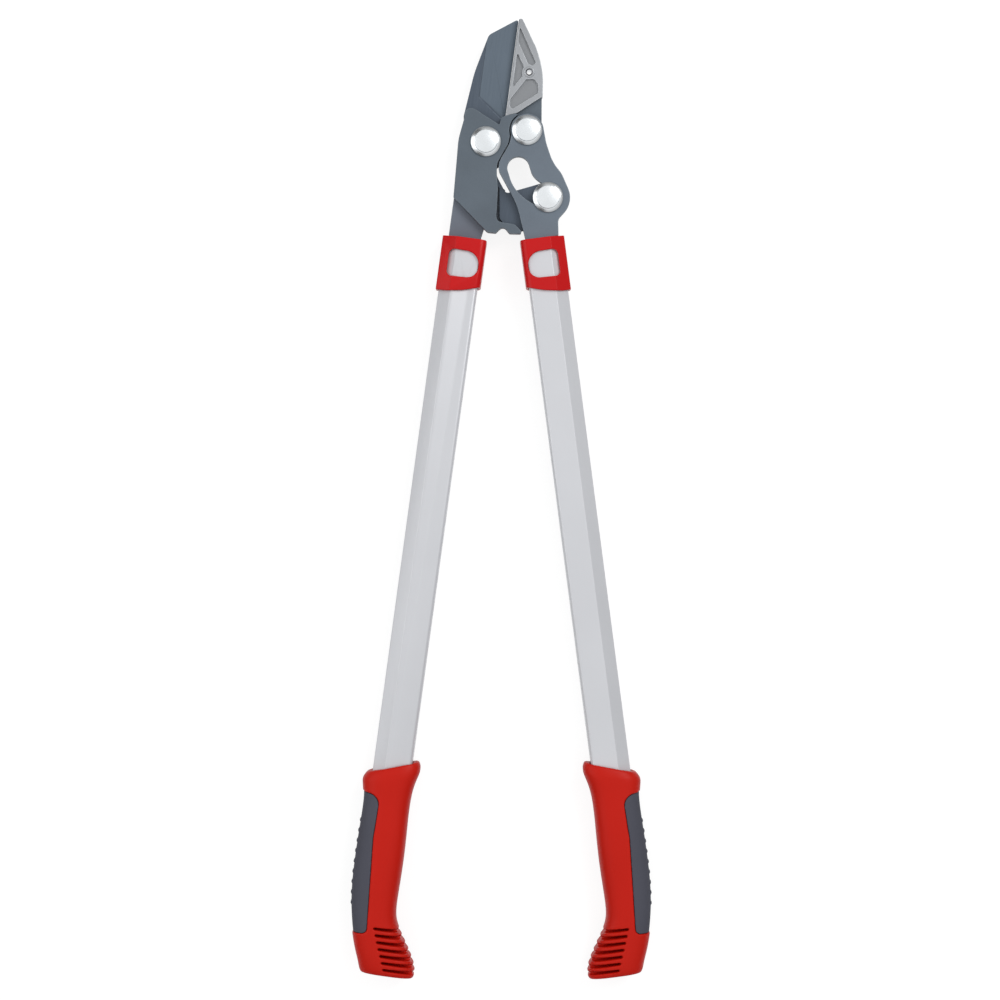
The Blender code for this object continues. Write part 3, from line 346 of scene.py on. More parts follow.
def coated_metal(name, colour, edge_colour, roughness, metallic, grain=1600.0, wear_and_highlight_amount=0.5, depth=0.00004):
    """Paint or coating over metal: grain, slow clouds of tone, marked hollows painted darker as painted
    shade, and edges made lighter, partly as wear and partly as a painted highlight.
    """
    material, tree, shader = new_material(name, roughness, metallic, specular=0.35)
    grain_out = use_group(material, fine_grain, Size=grain, Clouds=30.0)
    wear_and_highlight = use_group(material, worn_and_highlit_edges, Amount=wear_and_highlight_amount)
    even = add_mix(tree, grain_out["Cloud"], toned(colour, 0.90), toned(colour, 1.08))
    # Faces marked hollow are painted darker here: painted shade in recesses, such as the anvil's pocket
    # floors.
    clouded = add_mix(tree, read_mark(tree, "hollow"), even, toned(colour, 0.70))
    speckled = add_mix(tree, add_math(tree, "MULTIPLY", grain_out["Shade"], 0.25), clouded, edge_colour)
    grained = add_mix(tree, 0.25, clouded, speckled)
    # Edges take edge_colour: partly wear, partly a painted highlight.
    wire_up(tree, shader, add_mix(tree, wear_and_highlight["Mask"], grained, edge_colour), grain_out["Height"], depth,
            grain_out["Cloud"], roughness + 0.05, roughness - 0.05)
    return material


def finish(piece, material, slot, body, *nodes):
    """Gives a finished piece its material and its body, and hides the nodes that it stands for; slot is not
    used.
    """
    piece.data.materials.clear()
    piece.data.materials.append(material)
    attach(piece, body)
    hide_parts(*nodes)


def merge_into(piece, *others):
    """Joins other pieces to this one as part of it."""
    pick(piece)
    for other in others:
        other.select_set(True)
    bpy.ops.object.join()
    return piece


casting_paint = coated_metal("casting_paint", CASTING_GREY, CASTING_EDGE, 0.46, 0.0, wear_and_highlight_amount=0.35)


def roll_flank(piece, crease_end, crease_top, fade, corner, fall):
    """Takes a side down from its crease in one soft roll, by fall where the corner is."""
    rows = 16
    cutter = started("flank", bpy.ops.mesh.primitive_grid_add, x_subdivisions=2, y_subdivisions=rows,
                     size=1.0)
    places = sorted(cutter.data.vertices, key=lambda v: (round(v.co.y, 4), v.co.x))
    for number, vertex in enumerate(places):
        row, column = divmod(number, 3)
        part = 1.6 * row / rows
        soft = part * part / 0.9 if part < 0.6 else (0.36 + 1.2 * (part - 0.6)) / 0.9
        foot = (crease_end, crease_top, fade)[column] + (corner - crease_top) * part
        vertex.co = (foot.x, foot.y, FRONT_HIGH + 0.00001 - fall * soft / 0.933)
    open_mesh(cutter)
    bpy.ops.mesh.extrude_region_move(TRANSFORM_OT_translate={"value": (0.0, 0.0, 0.02)})
    close_mesh()
    combine(piece, cutter)


cheek_corners = (
    about(BLADE_PIVOT, (-0.0163, 0.0307, 0.007), (0.0107, 0.0131, 0.001), (0.0121, 0.0188, 0.0008))
    + about(ANVIL_HEEL, (0.0, -0.0003, 0.0004), (0.0078, 0.0014, 0.001))
    + arc(LEVER_PIVOT, EYE_RADIUS + 0.0010, 120, 195)
    + about(LEVER_PIVOT, (-0.0144, -0.0098, 0.014), (-0.0236, -0.0262, 0.010))
    + about(CAM_PIN, (-0.0398, 0.0164, 0.020), (-0.0389, 0.0073, 0.020), (-0.0404, -0.0186, 0.0045),
            (-0.0256, -0.0210, 0.004), (-0.0205, -0.0266, 0.0015), (-0.0213, -0.0286, 0.001),
            (-0.0300, -0.0284, 0.0015), (-0.0351, -0.0222, 0.0034), (-0.0406, -0.0280, 0.0015),
            (-0.0474, -0.0272, 0.003))
    + [(*on_handle("anvil", 0.0133, 0.0543), 0.001)]
    + about(BLADE_PIVOT, (-0.0214, 0.0019, 0.040), (-0.0168, 0.0184, 0.015)))
cheek = drawn_plate("head_casting_dressed", cheek_corners, FRONT_LOW, FRONT_HIGH)
crease_end, crease_top, fade, corner = [BLADE_PIVOT + Vector((x, y, 0.0)) for x, y in (
    (-0.0141, -0.0560), (-0.0103, -0.0110), (-0.0270, 0.0045), (-0.0300, -0.0140))]
roll_flank(cheek, crease_end, crease_top, fade, corner, FLANK_FALL)
combine(cheek, round_bar(BLADE_PIVOT, BOLT_HOLE))
break_edges(cheek, CASTING_ROUND, 3)

tongue_low = ANVIL_HEEL + INTO_ANVIL * 0.0055 + ALONG_ANVIL * 0.0017
tongue_high = ANVIL_HEEL + INTO_ANVIL * 0.0055 + ALONG_ANVIL * 0.050
bridge_end = ANVIL_HEEL - ALONG_ANVIL * 0.0165
carrier = drawn_plate("carrier", [(tongue_high.x, tongue_high.y, 0.002),
                                  (tongue_high.x + 0.0115, tongue_high.y, 0.003)]
                      + about(ANVIL_PIN, (0.0103, 0.0071, 0.050), (0.0099, -0.0195, 0.010))
                      + arc(LEVER_PIVOT, EYE_RADIUS - 0.0008, 20, -150)
                      + arc(BLADE_PIVOT, 0.0143, -6, 14)
                      + [(bridge_end.x, bridge_end.y, 0.0), (ANVIL_HEEL.x, ANVIL_HEEL.y - 0.0003, 0.0),
                         (tongue_low.x, tongue_low.y - 0.0003, 0.0)], MIDDLE_LOW, MIDDLE_HIGH)
combine(carrier, round_bar(LEVER_PIVOT, BOLT_HOLE))
combine(carrier, round_bar(ANVIL_PIN, PIN_HOLE, 24))
bridge = drawn_plate("bridge", about(ANVIL_HEEL, (0.0005, -0.0013, 0.0))
                     + arc(LEVER_PIVOT, EYE_RADIUS + 0.0014, 152, 190)
                     + arc(BLADE_PIVOT, 0.0147, 3, 14), MIDDLE_LOW + 0.0004, FRONT_LOW + 0.003)
lip_wall = drawn_plate("lip_wall", about(
    CAM_PIN, (-0.0476, -0.0224, 0.001), (-0.0420, -0.0198, 0.001), (-0.0375, -0.0206, 0.001),
    (-0.0262, -0.0224, 0.002), (-0.0213, -0.0266, 0.001), (-0.0218, -0.0280, 0.0006),
    (-0.0297, -0.0278, 0.001), (-0.0351, -0.0217, 0.0034), (-0.0408, -0.0274, 0.001),
    (-0.0472, -0.0266, 0.002)), MIDDLE_LOW, FRONT_LOW + 0.003)
for layer in (carrier, bridge, lip_wall):
    break_edges(layer, 0.0003)
head_casting = merge_into(cheek, carrier, bridge, lip_wall)
finish(head_casting, casting_paint, "casting_paint", "anvil_side", "head_casting")


# Anvil
# A softer die-cast alloy block that the blade closes against. It sits astride the casting's
# tongue, its front has three lightening pockets, and a roll pin goes through a small boss.

ANVIL_GREY = (0.330, 0.345, 0.365)
# ANVIL_EDGE lightens grain flecks and edges; on the edges it stands partly for wear, partly for a painted
# highlight.
ANVIL_EDGE = (0.62, 0.64, 0.67)
ANVIL_LOW, ANVIL_TOP = 0.009, 0.021
ANVIL_ROUND = 0.0004
BOSS_INNER = 0.0030
BOSS_OUTER = 0.0043
BOSS_RISE = 0.0004
POCKET_DEPTH = 0.0019

anvil_alloy = coated_metal("anvil_alloy", ANVIL_GREY, ANVIL_EDGE, 0.44, 0.35, grain=1200.0, wear_and_highlight_amount=0.9,
                           depth=0.00005)


def turned(name, profile, place, steps=64):
    """A turned piece: a profile of (radius, height) points spun round a vertical axis."""
    piece = started(name, bpy.ops.mesh.primitive_circle_add, vertices=len(profile), radius=0.01)
    for vertex, (radius, height) in zip(piece.data.vertices, profile):
        vertex.co = (place.x + radius, place.y, height)
    open_mesh(piece)
    bpy.ops.mesh.spin(steps=steps, angle=2 * math.pi, center=(place.x, place.y, 0.0), axis=(0.0, 0.0, 1.0))
    bpy.ops.mesh.select_all(action="SELECT")
    bpy.ops.mesh.remove_doubles(threshold=0.000005)
    close_mesh()
    bpy.ops.object.shade_smooth_by_angle(angle=SMOOTH_ANGLE)
    return piece


anvil_tip = ANVIL_TIP + ALONG_ANVIL * 0.0006
anvil = drawn_plate("anvil_dressed", (
    about(ANVIL_HEEL, (0.0, 0.0, 0.0006))
    + about(ANVIL_PIN, (-0.0097, -0.0321, 0.008), (0.0106, -0.0188, 0.0012), (0.0111, 0.0073, 0.065),
            (-0.0053, 0.0420, 0.0018)) + [(anvil_tip.x, anvil_tip.y, 0.001)]), ANVIL_LOW, ANVIL_TOP)
slot_low = ANVIL_HEEL + INTO_ANVIL * 0.0052 + ALONG_ANVIL * 0.0017
slot_high = ANVIL_HEEL + INTO_ANVIL * 0.0052 + ALONG_ANVIL * 0.0503
slot_plan = [(slot_low.x, slot_low.y - 0.05), (slot_low.x, slot_low.y), (slot_high.x, slot_high.y),
             (slot_high.x + 0.05, slot_high.y), (slot_high.x + 0.05, slot_low.y - 0.05)]
combine(anvil, drawn_plate("tongue_slot", [(x, y, 0.0) for x, y in slot_plan], REAR_HIGH, FRONT_LOW))
POCKETS = [
    [(-0.0074, 0.0362, 0.0008), (0.0054, 0.0069, 0.0015), (0.0022, 0.0050, 0.001),
     (-0.0009, 0.0070, 0.001), (-0.0081, 0.0229, 0.002)],
    [(-0.0092, 0.0156, 0.0008), (-0.0043, 0.0042, 0.001), (-0.0056, 0.0004, 0.003),
     (-0.0054, -0.0030, 0.001), (-0.0129, -0.0123, 0.0008)],
    [(-0.0022, -0.0058, 0.001), (0.0038, -0.0054, 0.003), (0.0071, -0.0098, 0.003),
     (0.0071, -0.0162, 0.002), (-0.0133, -0.0289, 0.0015), (-0.0153, -0.0268, 0.0015),
     (-0.0145, -0.0209, 0.002)],
]
for corners in POCKETS:
    pocket = drawn_plate("pocket", about(ANVIL_PIN, *corners), ANVIL_TOP - POCKET_DEPTH, ANVIL_TOP + 0.004, 3)
    modify(pocket, "BEVEL", width=0.0007, segments=4, angle_limit=math.radians(60))
    combine(anvil, pocket)
break_edges(anvil, ANVIL_ROUND, 3)
shade_flats(combine(anvil, round_bar(ANVIL_PIN, PIN_HOLE, 40)))
# The pocket floors are marked so that the material paints them darker: painted shade.
mark_faces(anvil, "hollow", lambda face: face.normal.z > 0.9
           and ANVIL_TOP - 0.0030 < face.center.z < ANVIL_TOP - 0.0010)
boss = turned("anvil_boss", [
    (BOSS_INNER, ANVIL_TOP - 0.0002), (BOSS_INNER, ANVIL_TOP + BOSS_RISE * 0.6),
    (BOSS_INNER + 0.0003, ANVIL_TOP + BOSS_RISE), (BOSS_OUTER - 0.0004, ANVIL_TOP + BOSS_RISE),
    (BOSS_OUTER, ANVIL_TOP + BOSS_RISE * 0.4), (BOSS_OUTER + 0.0003, ANVIL_TOP - 0.0002)], ANVIL_PIN)
merge_into(anvil, boss)
finish(anvil, anvil_alloy, "anvil_alloy", "anvil_side", "anvil")


# Blade
# Hardened steel plate with a hub and a bent tang in one piece. It has a dark non-stick coating
# over fine lengthwise grinding marks, and each face is ground down to the cutting edge.

BLADE_GREY = (0.094, 0.123, 0.157)
# Painted shade: the darker colour given to the unground band along the blade's back.
BLADE_BACK_SHADED = (0.072, 0.093, 0.124)
# BLADE_EDGE lightens marks and edges; on the edges it stands partly for wear, partly for a painted highlight.
BLADE_EDGE = (0.24, 0.29, 0.34)
BLADE_ROUND = 0.00022
GRIND_WIDTH = 0.0225
GRIND_DEPTH = 0.0017
BLADE_LEAN = math.atan2(-0.0101, 0.0748)
BUSH_SEAT = 0.0070
CAM_HOLE = 0.0043
HUB_RADIUS = 0.0134


def add_vector(tree, operation, first, second=(0.0, 0.0, 0.0)):
    """A Vector Math node; second is a socket or three numbers."""
    node = tree.nodes.new("ShaderNodeVectorMath")
    node.operation = operation
    tree.links.new(first, node.inputs[0])
    feed(tree, second, node.inputs[1])
    return node.outputs["Value" if operation in ("LENGTH", "DOT_PRODUCT") else "Vector"]


def make_streak_group():
    """Grinding marks: noise drawn out along one direction of the piece."""
    group, ins, outs = new_group(
        "grinding_marks", [("Turn", "Float", 0.0), ("Fineness", "Float", 1400.0)],
        [("Height", "Float"), ("Shade", "Float")])
    place = group.nodes.new("ShaderNodeTexCoord").outputs["Object"]
    turned_place = group.nodes.new("ShaderNodeVectorRotate")
    turned_place.rotation_type = "Z_AXIS"
    group.links.new(place, turned_place.inputs["Vector"])
    group.links.new(ins.outputs["Turn"], turned_place.inputs["Angle"])
    drawn = add_vector(group, "MULTIPLY", turned_place.outputs["Vector"], (1.0, 0.03, 1.0))
    marks = add_noise(group, drawn, ins.outputs["Fineness"], 3.0, 0.6)
    group.links.new(marks, outs.inputs["Height"])
    group.links.new(add_range(group, marks, 0.3, 0.7), outs.inputs["Shade"])
    return group


grinding_marks = make_streak_group()


def ground_steel(name, colour, back, edge_colour, roughness, metallic, turn):
    """Coated steel whose grinding marks show, with the unground band painted darker as painted shade."""
    material, tree, shader = new_material(name, roughness, metallic, specular=0.35)
    marks = use_group(material, grinding_marks, Turn=turn, Fineness=1500.0)
    grain = use_group(material, fine_grain, Size=900.0, Clouds=22.0)
    wear_and_highlight = use_group(material, worn_and_highlit_edges, Amount=0.4)
    face = add_mix(tree, grain["Cloud"], toned(colour, 0.95), toned(colour, 1.05))
    # The unground band is painted darker than the ground faces: painted shade.
    plain = add_mix(tree, grain["Cloud"], toned(back, 0.95), toned(back, 1.05))
    base = add_mix(tree, read_mark(tree, "ground"), plain, face)
    streaked = add_mix(tree, add_math(tree, "MULTIPLY", marks["Shade"], 0.08), base, edge_colour)
    # Edges take edge_colour: partly wear, partly a painted highlight.
    wire_up(tree, shader, add_mix(tree, wear_and_highlight["Mask"], streaked, edge_colour), marks["Height"], 0.00002,
            marks["Shade"], roughness - 0.06, roughness + 0.06)
    return material


def mark_creases(piece, low, high):
    """Makes each flat whole and keeps creases between two angles, in degrees, crisp."""
    open_mesh(piece)
    bpy.ops.mesh.dissolve_limited(angle_limit=math.radians(0.3))
    bpy.ops.mesh.select_all(action="DESELECT")
    shape = bmesh.from_edit_mesh(piece.data)
    for edge in shape.edges:
        edge.select = len(edge.link_faces) == 2 and low < math.degrees(edge.calc_face_angle()) < high
    shape.select_flush_mode()
    bmesh.update_edit_mesh(piece.data)
    bpy.ops.mesh.mark_sharp()
    bpy.ops.object.mode_set(mode="OBJECT")


def is_ground(face):
    return 0.03 < face.normal.xy.length < 0.2


def level_ground_faces(piece):
    """Makes the two ground faces quite flat again after the rounding, with a crisp outline."""
    pick(piece)
    bpy.ops.object.mode_set(mode="EDIT")
    bpy.ops.mesh.select_mode(type="FACE")
    shape = bmesh.from_edit_mesh(piece.data)
    for face in shape.faces:
        face.select_set(face.calc_area() > 0.0005 and is_ground(face))
    bmesh.update_edit_mesh(piece.data)
    bpy.ops.mesh.face_make_planar(factor=1.0, repeat=8)
    bpy.ops.mesh.quads_convert_to_tris(quad_method="BEAUTY", ngon_method="BEAUTY")
    bpy.ops.mesh.region_to_loop()
    bpy.ops.mesh.mark_sharp()
    bpy.ops.mesh.select_mode(type="VERT")
    bpy.ops.object.mode_set(mode="OBJECT")
    shade_flats(piece)


def placed(piece, matrix):
    """Moves a piece by a matrix, in its mesh."""
    pick(piece)
    piece.matrix_world = matrix
    bpy.ops.object.transform_apply(location=True, rotation=True, scale=True)
    return piece


def tilted(piece, low, high, level, slope):
    """Turns a piece about a line at a level, so that it dips on the line's right side."""
    centre = Vector((low.x, low.y, level))
    return placed(piece, Matrix.Translation(centre) @ Matrix.Rotation(slope, 4, (high - low).normalized())
                  @ Matrix.Translation(-centre))


edge_heel = ANVIL_HEEL - INTO_ANVIL * 0.0003
edge_tip = ANVIL_TIP - INTO_ANVIL * 0.0003 + ALONG_ANVIL * 0.0018
facing = math.atan2(INTO_ANVIL.y, INTO_ANVIL.x)
hub_end = facing + math.acos(INTO_ANVIL.dot(edge_heel - BLADE_PIVOT) / HUB_RADIUS)
blade = drawn_plate("blade_dressed", (
    [(edge_tip.x, edge_tip.y, 0.0015)]
    + about(BLADE_PIVOT, (0.0024, 0.0845, 0.006), (-0.0090, 0.0549, 0.080), (-0.0174, 0.0209, 0.004),
            (-0.0168, 0.0049, 0.006), (-0.0118, -0.0131, 0.012), (-0.0100, -0.0211, 0.010),
            (-0.0058, -0.0291, 0.006), (0.0106, -0.0341, 0.003), (0.0106, -0.0591, 0.0035),
            (0.0142, -0.0637, 0.002))
    + about(CAM_PIN, (-0.0256, -0.0220, 0.001), (-0.0209, -0.0258, 0.001), (-0.0150, -0.0240, 0.004))
    + arc(CAM_PIN, 0.0128, -80, 100) + about(CAM_PIN, (-0.0327, 0.0039, 0.003))
    + about(BLADE_PIVOT, (0.0083, -0.0256, 0.012))
    + arc(BLADE_PIVOT, HUB_RADIUS, -55, math.degrees(hub_end))), MIDDLE_LOW, MIDDLE_HIGH)
ridge_heel = edge_heel - INTO_ANVIL * GRIND_WIDTH
ridge_low = ridge_heel + ALONG_ANVIL * 0.0135
ridge_high = ridge_heel + ALONG_ANVIL * 0.12
edge_low = edge_heel - ALONG_ANVIL * 0.0036
outside = edge_low + INTO_ANVIL * 0.01
far_out = ridge_high + INTO_ANVIL * 0.04
ground_plan = sharp([ridge_high, ridge_low, edge_low, outside, far_out])
slope = math.atan(GRIND_DEPTH / GRIND_WIDTH)
for level, low, high, turn in ((MIDDLE_HIGH, MIDDLE_HIGH, 0.03, slope),
                               (MIDDLE_LOW, 0.0, MIDDLE_LOW, -slope)):
    combine(blade, tilted(drawn_plate("grind", ground_plan, low, high), ridge_low, ridge_high, level, turn))
across = (edge_low - ridge_low).normalized()
beside = Vector((-across.y, across.x, 0.0)) * -0.0014
relief = sharp([ridge_low, edge_low + across * 0.01, edge_low + across * 0.01 + beside, ridge_low + beside])
combine(blade, drawn_plate("relief", relief, MIDDLE_HIGH - 0.0003, 0.03))
combine(blade, round_bar(BLADE_PIVOT, BUSH_SEAT))
combine(blade, round_bar(CAM_PIN, CAM_HOLE))
mark_creases(blade, 2.0, 20.0)
break_edges(blade, BLADE_ROUND, 3, angle=math.radians(40))
level_ground_faces(blade)
mark_faces(blade, "ground", is_ground)
blade_coating = ground_steel("blade_coating", BLADE_GREY, BLADE_BACK_SHADED, BLADE_EDGE, 0.38, 0.25, -BLADE_LEAN)
finish(blade, blade_coating, "blade_coating", "cutting_blade", "blade")


# Lever plate and fixed shank
# Two flat steel blanks, tumbled, with a satin grey coating: the moving one carries the cam slot,
# and the fixed one is held between the casting and the rear plate. Both end as tenons.

LEVER_GREY = (0.134, 0.165, 0.202)
# LEVER_EDGE lightens grain flecks and edges; on the edges it stands partly for wear, partly for a painted
# highlight.
LEVER_EDGE = (0.34, 0.38, 0.42)
SHANK_GREY = (0.134, 0.154, 0.190)
PLATE_ROUND = 0.0005
SLOT_HALF = 0.0086
RIVET_HOLE = 0.0022
RIVETS = ((-0.0065, 0.1207), (0.0025, 0.1207))

lever_steel = coated_metal("lever_steel", LEVER_GREY, LEVER_EDGE, 0.42, 0.15, grain=1300.0)
shank_steel = coated_metal("shank_steel", SHANK_GREY, LEVER_EDGE, 0.42, 0.15, grain=1300.0)


def tenon(side, taper=0.0):
    """Corners of a flat shank at its collar, and of the narrower tenon inside the tube."""
    corners = []
    for out, down, radius in ((taper - 0.013, 0.0846, 0.001), (-0.011, 0.0846, 0.0),
                              (-0.011, 0.1429, 0.003), (0.007, 0.1429, 0.003),
                              (0.007, 0.0846, 0.0), (0.013, 0.0846, 0.001)):
        corners.append((*on_handle(side, out, down), radius))
    return corners


def cam_slot():
    """Outline about the cam bolt's path in the lever plate, from closed to open at half its turn."""
    path = []
    for i in range(33):
        lever = math.radians(75) * i / 32
        place = BLADE_PIVOT + Matrix.Rotation(lever / 2, 3, "Z") @ (CAM_PIN - BLADE_PIVOT)
        path.append(Matrix.Rotation(-lever, 3, "Z") @ place)
    path.append(path[-1] + (path[-1] - path[-2]).normalized() * 0.0062)
    left, right = [], []
    for i, place in enumerate(path):
        course = path[min(i + 1, len(path) - 1)] - path[max(i - 1, 0)]
        side = Vector((-course.y, course.x, 0.0)).normalized() * SLOT_HALF
        left.append(place + side)
        right.append(place - side)
    far, near = right[-1] - path[-1], left[0] - path[0]
    start = math.degrees(math.atan2(far.y, far.x))
    finish_turn = math.degrees(math.atan2(near.y, near.x))
    return (sharp(right) + arc(path[-1], SLOT_HALF, start, start + 180)[1:-1]
            + sharp(reversed(left)) + arc(path[0], SLOT_HALF, finish_turn, finish_turn + 180)[1:-1])


lever_plate = drawn_plate("lever_plate_dressed", (
    arc(LEVER_PIVOT, EYE_RADIUS, 12, 195)
    + about(LEVER_PIVOT, (-0.0133, -0.0095, 0.014), (-0.0222, -0.0252, 0.012), (-0.0222, -0.0317, 0.008))
    + about(CAM_PIN, (-0.0242, -0.0054, 0.050)) + tenon("lever")
    + about(CAM_PIN, (0.0080, -0.0169, 0.006)) + arc(CAM_PIN, 0.0173, -40, 26)
    + about(CAM_PIN, (0.0107, 0.0188, 0.020), (0.0038, 0.0272, 0.030))
    + about(LEVER_PIVOT, (0.0149, -0.0100, 0.030))), FRONT_LOW, FRONT_HIGH)
combine(lever_plate, drawn_plate("slot", cam_slot(), 0.0, 0.03))
combine(lever_plate, round_bar(LEVER_PIVOT, BUSH_SEAT))
for rivet in RIVETS:
    combine(lever_plate, round_bar(on_handle("lever", *rivet), RIVET_HOLE, 24))
break_edges(lever_plate, PLATE_ROUND, 3)
finish(lever_plate, lever_steel, "lever_steel", "lever_side", "lever_plate")

anvil_shank = drawn_plate("anvil_shank_dressed", (
    about(BLADE_PIVOT, (-0.0230, -0.0166, 0.002), (-0.0111, -0.0166, 0.003), (-0.0110, -0.0400, 0.003))
    + about(CAM_PIN, (-0.0462, -0.0102, 0.004), (-0.0496, -0.0230, 0.020)) + tenon("anvil", 0.0010)
    + [(*on_handle("anvil", 0.013, 0.0543), 0.002)]), MIDDLE_LOW, MIDDLE_HIGH)
SCREWS = [(-0.0500, -0.0330), (-0.0485, -0.0500), (-0.0397, -0.0614), (-0.0262, -0.0753)]
for place in SCREWS[:3] + [on_handle("anvil", *rivet) for rivet in RIVETS]:
    combine(anvil_shank, round_bar(place, RIVET_HOLE, 24))
break_edges(anvil_shank, PLATE_ROUND, 3)
finish(anvil_shank, shank_steel, "shank_steel", "anvil_side", "anvil_shank")

rear_plate = drawn_plate("rear_plate_dressed", (
    about(BLADE_PIVOT, (-0.0157, 0.0297, 0.007), (0.0103, 0.0123, 0.002))
    + arc(LEVER_PIVOT, EYE_RADIUS - 0.0008, 150, -140)
    + about(LEVER_PIVOT, (-0.0128, -0.0100, 0.010), (-0.0205, -0.0262, 0.003), (-0.0240, -0.0285, 0.002))
    + about(CAM_PIN, (-0.0407, 0.0164, 0.020), (-0.0405, 0.0105, 0.001), (-0.0332, 0.0075, 0.002),
            (-0.0332, -0.0190, 0.002), (-0.0262, -0.0216, 0.004), (-0.0214, -0.0262, 0.001),
            (-0.0219, -0.0273, 0.0006),
            (-0.0297, -0.0271, 0.001), (-0.0351, -0.0216, 0.0034), (-0.0408, -0.0269, 0.001),
            (-0.0472, -0.0263, 0.003))
    + [(*on_handle("anvil", 0.0126, 0.0539), 0.001)]
    + about(BLADE_PIVOT, (-0.0208, 0.0019, 0.040), (-0.0162, 0.0184, 0.015))), REAR_LOW, REAR_HIGH)
for place in (BLADE_PIVOT, LEVER_PIVOT):
    combine(rear_plate, round_bar(place, BOLT_HOLE))
for place in SCREWS:
    combine(rear_plate, round_bar(place, RIVET_HOLE))
break_edges(rear_plate, PLATE_ROUND, 3)
finish(rear_plate, shank_steel, "shank_steel", "anvil_side", "rear_plate")


# Pivot bolts, washers and nuts
# Bright zinc-plated: wide stepped disc heads on the front, turned with fine rings, and behind
# them a plain washer and a chamfered lock nut. The cam bolt is the smaller one, with a roller.

ZINC = (0.80, 0.83, 0.85)
ZINC_DULL = (0.62, 0.66, 0.70)
HEAD_SEAT = 0.0236
HEAD_RADIUS = 0.0118
FACE_RADIUS = 0.0090
FACE_TOP = 0.0269
RIM_TOP = 0.0260
RIM_LOW = 0.0248
THREAD_PITCH = 0.0008
THREAD_TURNS = 10
THREAD_DEPTH = 0.0004


def make_ring_group():
    """Turning rings about an upright axis: a height and a shade that change with the radius."""
    group, ins, outs = new_group(
        "turned_rings", [("Centre", "Vector", (0.0, 0.0, 0.0)), ("Fineness", "Float", 2500.0)],
        [("Height", "Float"), ("Shade", "Float")])
    place = group.nodes.new("ShaderNodeTexCoord").outputs["Object"]
    away = add_vector(group, "SUBTRACT", place, ins.outputs["Centre"])
    radius = add_vector(group, "LENGTH", add_vector(group, "MULTIPLY", away, (1.0, 1.0, 0.0)))
    rings = group.nodes.new("ShaderNodeTexNoise")
    rings.noise_dimensions = "1D"
    rings.inputs["Detail"].default_value = 3.0
    group.links.new(radius, rings.inputs["W"])
    group.links.new(ins.outputs["Fineness"], rings.inputs["Scale"])
    group.links.new(rings.outputs["Fac"], outs.inputs["Height"])
    group.links.new(add_range(group, rings.outputs["Fac"], 0.3, 0.7), outs.inputs["Shade"])
    return group


turned_rings = make_ring_group()


def turned_zinc(name, centre):
    """Bright plating over a turned face, with its rings about the given centre."""
    material, tree, shader = new_material(name, 0.24, 1.0)
    rings = use_group(material, turned_rings, Centre=centre, Fineness=1800.0)
    grain = use_group(material, fine_grain, Size=700.0, Clouds=160.0)
    tone = add_mix(tree, grain["Cloud"], ZINC, toned(ZINC, 0.94))
    ringed = add_mix(tree, add_math(tree, "MULTIPLY", rings["Shade"], 0.2), tone, ZINC_DULL)
    wire_up(tree, shader, ringed, rings["Height"], 0.000008, rings["Shade"], 0.20, 0.32)
    return material


def disc_head():
    """Profile of a disc head: raised face, sloping rim and seat."""
    return [(0.0, FACE_TOP), (FACE_RADIUS - 0.0006, FACE_TOP), (FACE_RADIUS - 0.0002, FACE_TOP - 0.00015),
            (FACE_RADIUS, FACE_TOP - 0.0005), (FACE_RADIUS + 0.0001, RIM_TOP + 0.0001),
            (FACE_RADIUS + 0.0004, RIM_TOP), (HEAD_RADIUS - 0.0005, RIM_LOW + 0.0001),
            (HEAD_RADIUS - 0.0001, RIM_LOW - 0.0002), (HEAD_RADIUS, RIM_LOW - 0.0005),
            (HEAD_RADIUS, HEAD_SEAT + 0.0002), (HEAD_RADIUS - 0.0002, HEAD_SEAT)]


def disc_bolt(name, place, shank, end):
    """A disc-headed bolt: head, plain shank and a thread of turned grooves at its end."""
    profile = disc_head() + [(shank, HEAD_SEAT)]
    height = end + THREAD_TURNS * THREAD_PITCH
    for _ in range(THREAD_TURNS):
        profile += [(shank, height), (shank - THREAD_DEPTH, height - THREAD_PITCH / 2)]
        height -= THREAD_PITCH
    return turned(name, profile + [(shank - 0.0005, end), (0.0, end)], place)


def plain_zinc(name):
    """Bright zinc plating on small hardware, faintly clouded."""
    material, tree, shader = new_material(name, 0.30, 1.0)
    grain = use_group(material, fine_grain, Size=900.0, Clouds=180.0)
    wire_up(tree, shader, add_mix(tree, grain["Cloud"], ZINC_DULL, ZINC), grain["Height"], 0.00001,
            grain["Cloud"], 0.36, 0.24)
    return material


def lock_nut(name, place, flats, hole, low, high):
    """A hexagon nut, chamfered at its far end."""
    nut = started(name, bpy.ops.mesh.primitive_cylinder_add, vertices=6, radius=flats / math.sqrt(3),
                  depth=high - low, location=(place.x, place.y, (low + high) / 2))
    chamfer = started("chamfer", bpy.ops.mesh.primitive_cone_add, vertices=48, radius1=flats * 0.5,
                      radius2=flats * 0.5 + 0.012, depth=0.024, location=(place.x, place.y, low + 0.012))
    combine(nut, chamfer, "INTERSECT")
    combine(nut, round_bar(place, hole, 40))
    pick(nut)
    bpy.ops.object.transform_apply(location=True, rotation=True, scale=True)
    return break_edges(nut, 0.0003)


def washer(name, place, inner, outer, low, high):
    lip = 0.0003
    ring = [(inner, low + lip), (inner, high - lip), (inner + lip, high), (outer - lip, high),
            (outer, high - lip), (outer, low + lip), (outer - lip, low), (inner + lip, low)]
    return turned(name, ring + ring[:1], place, 48)


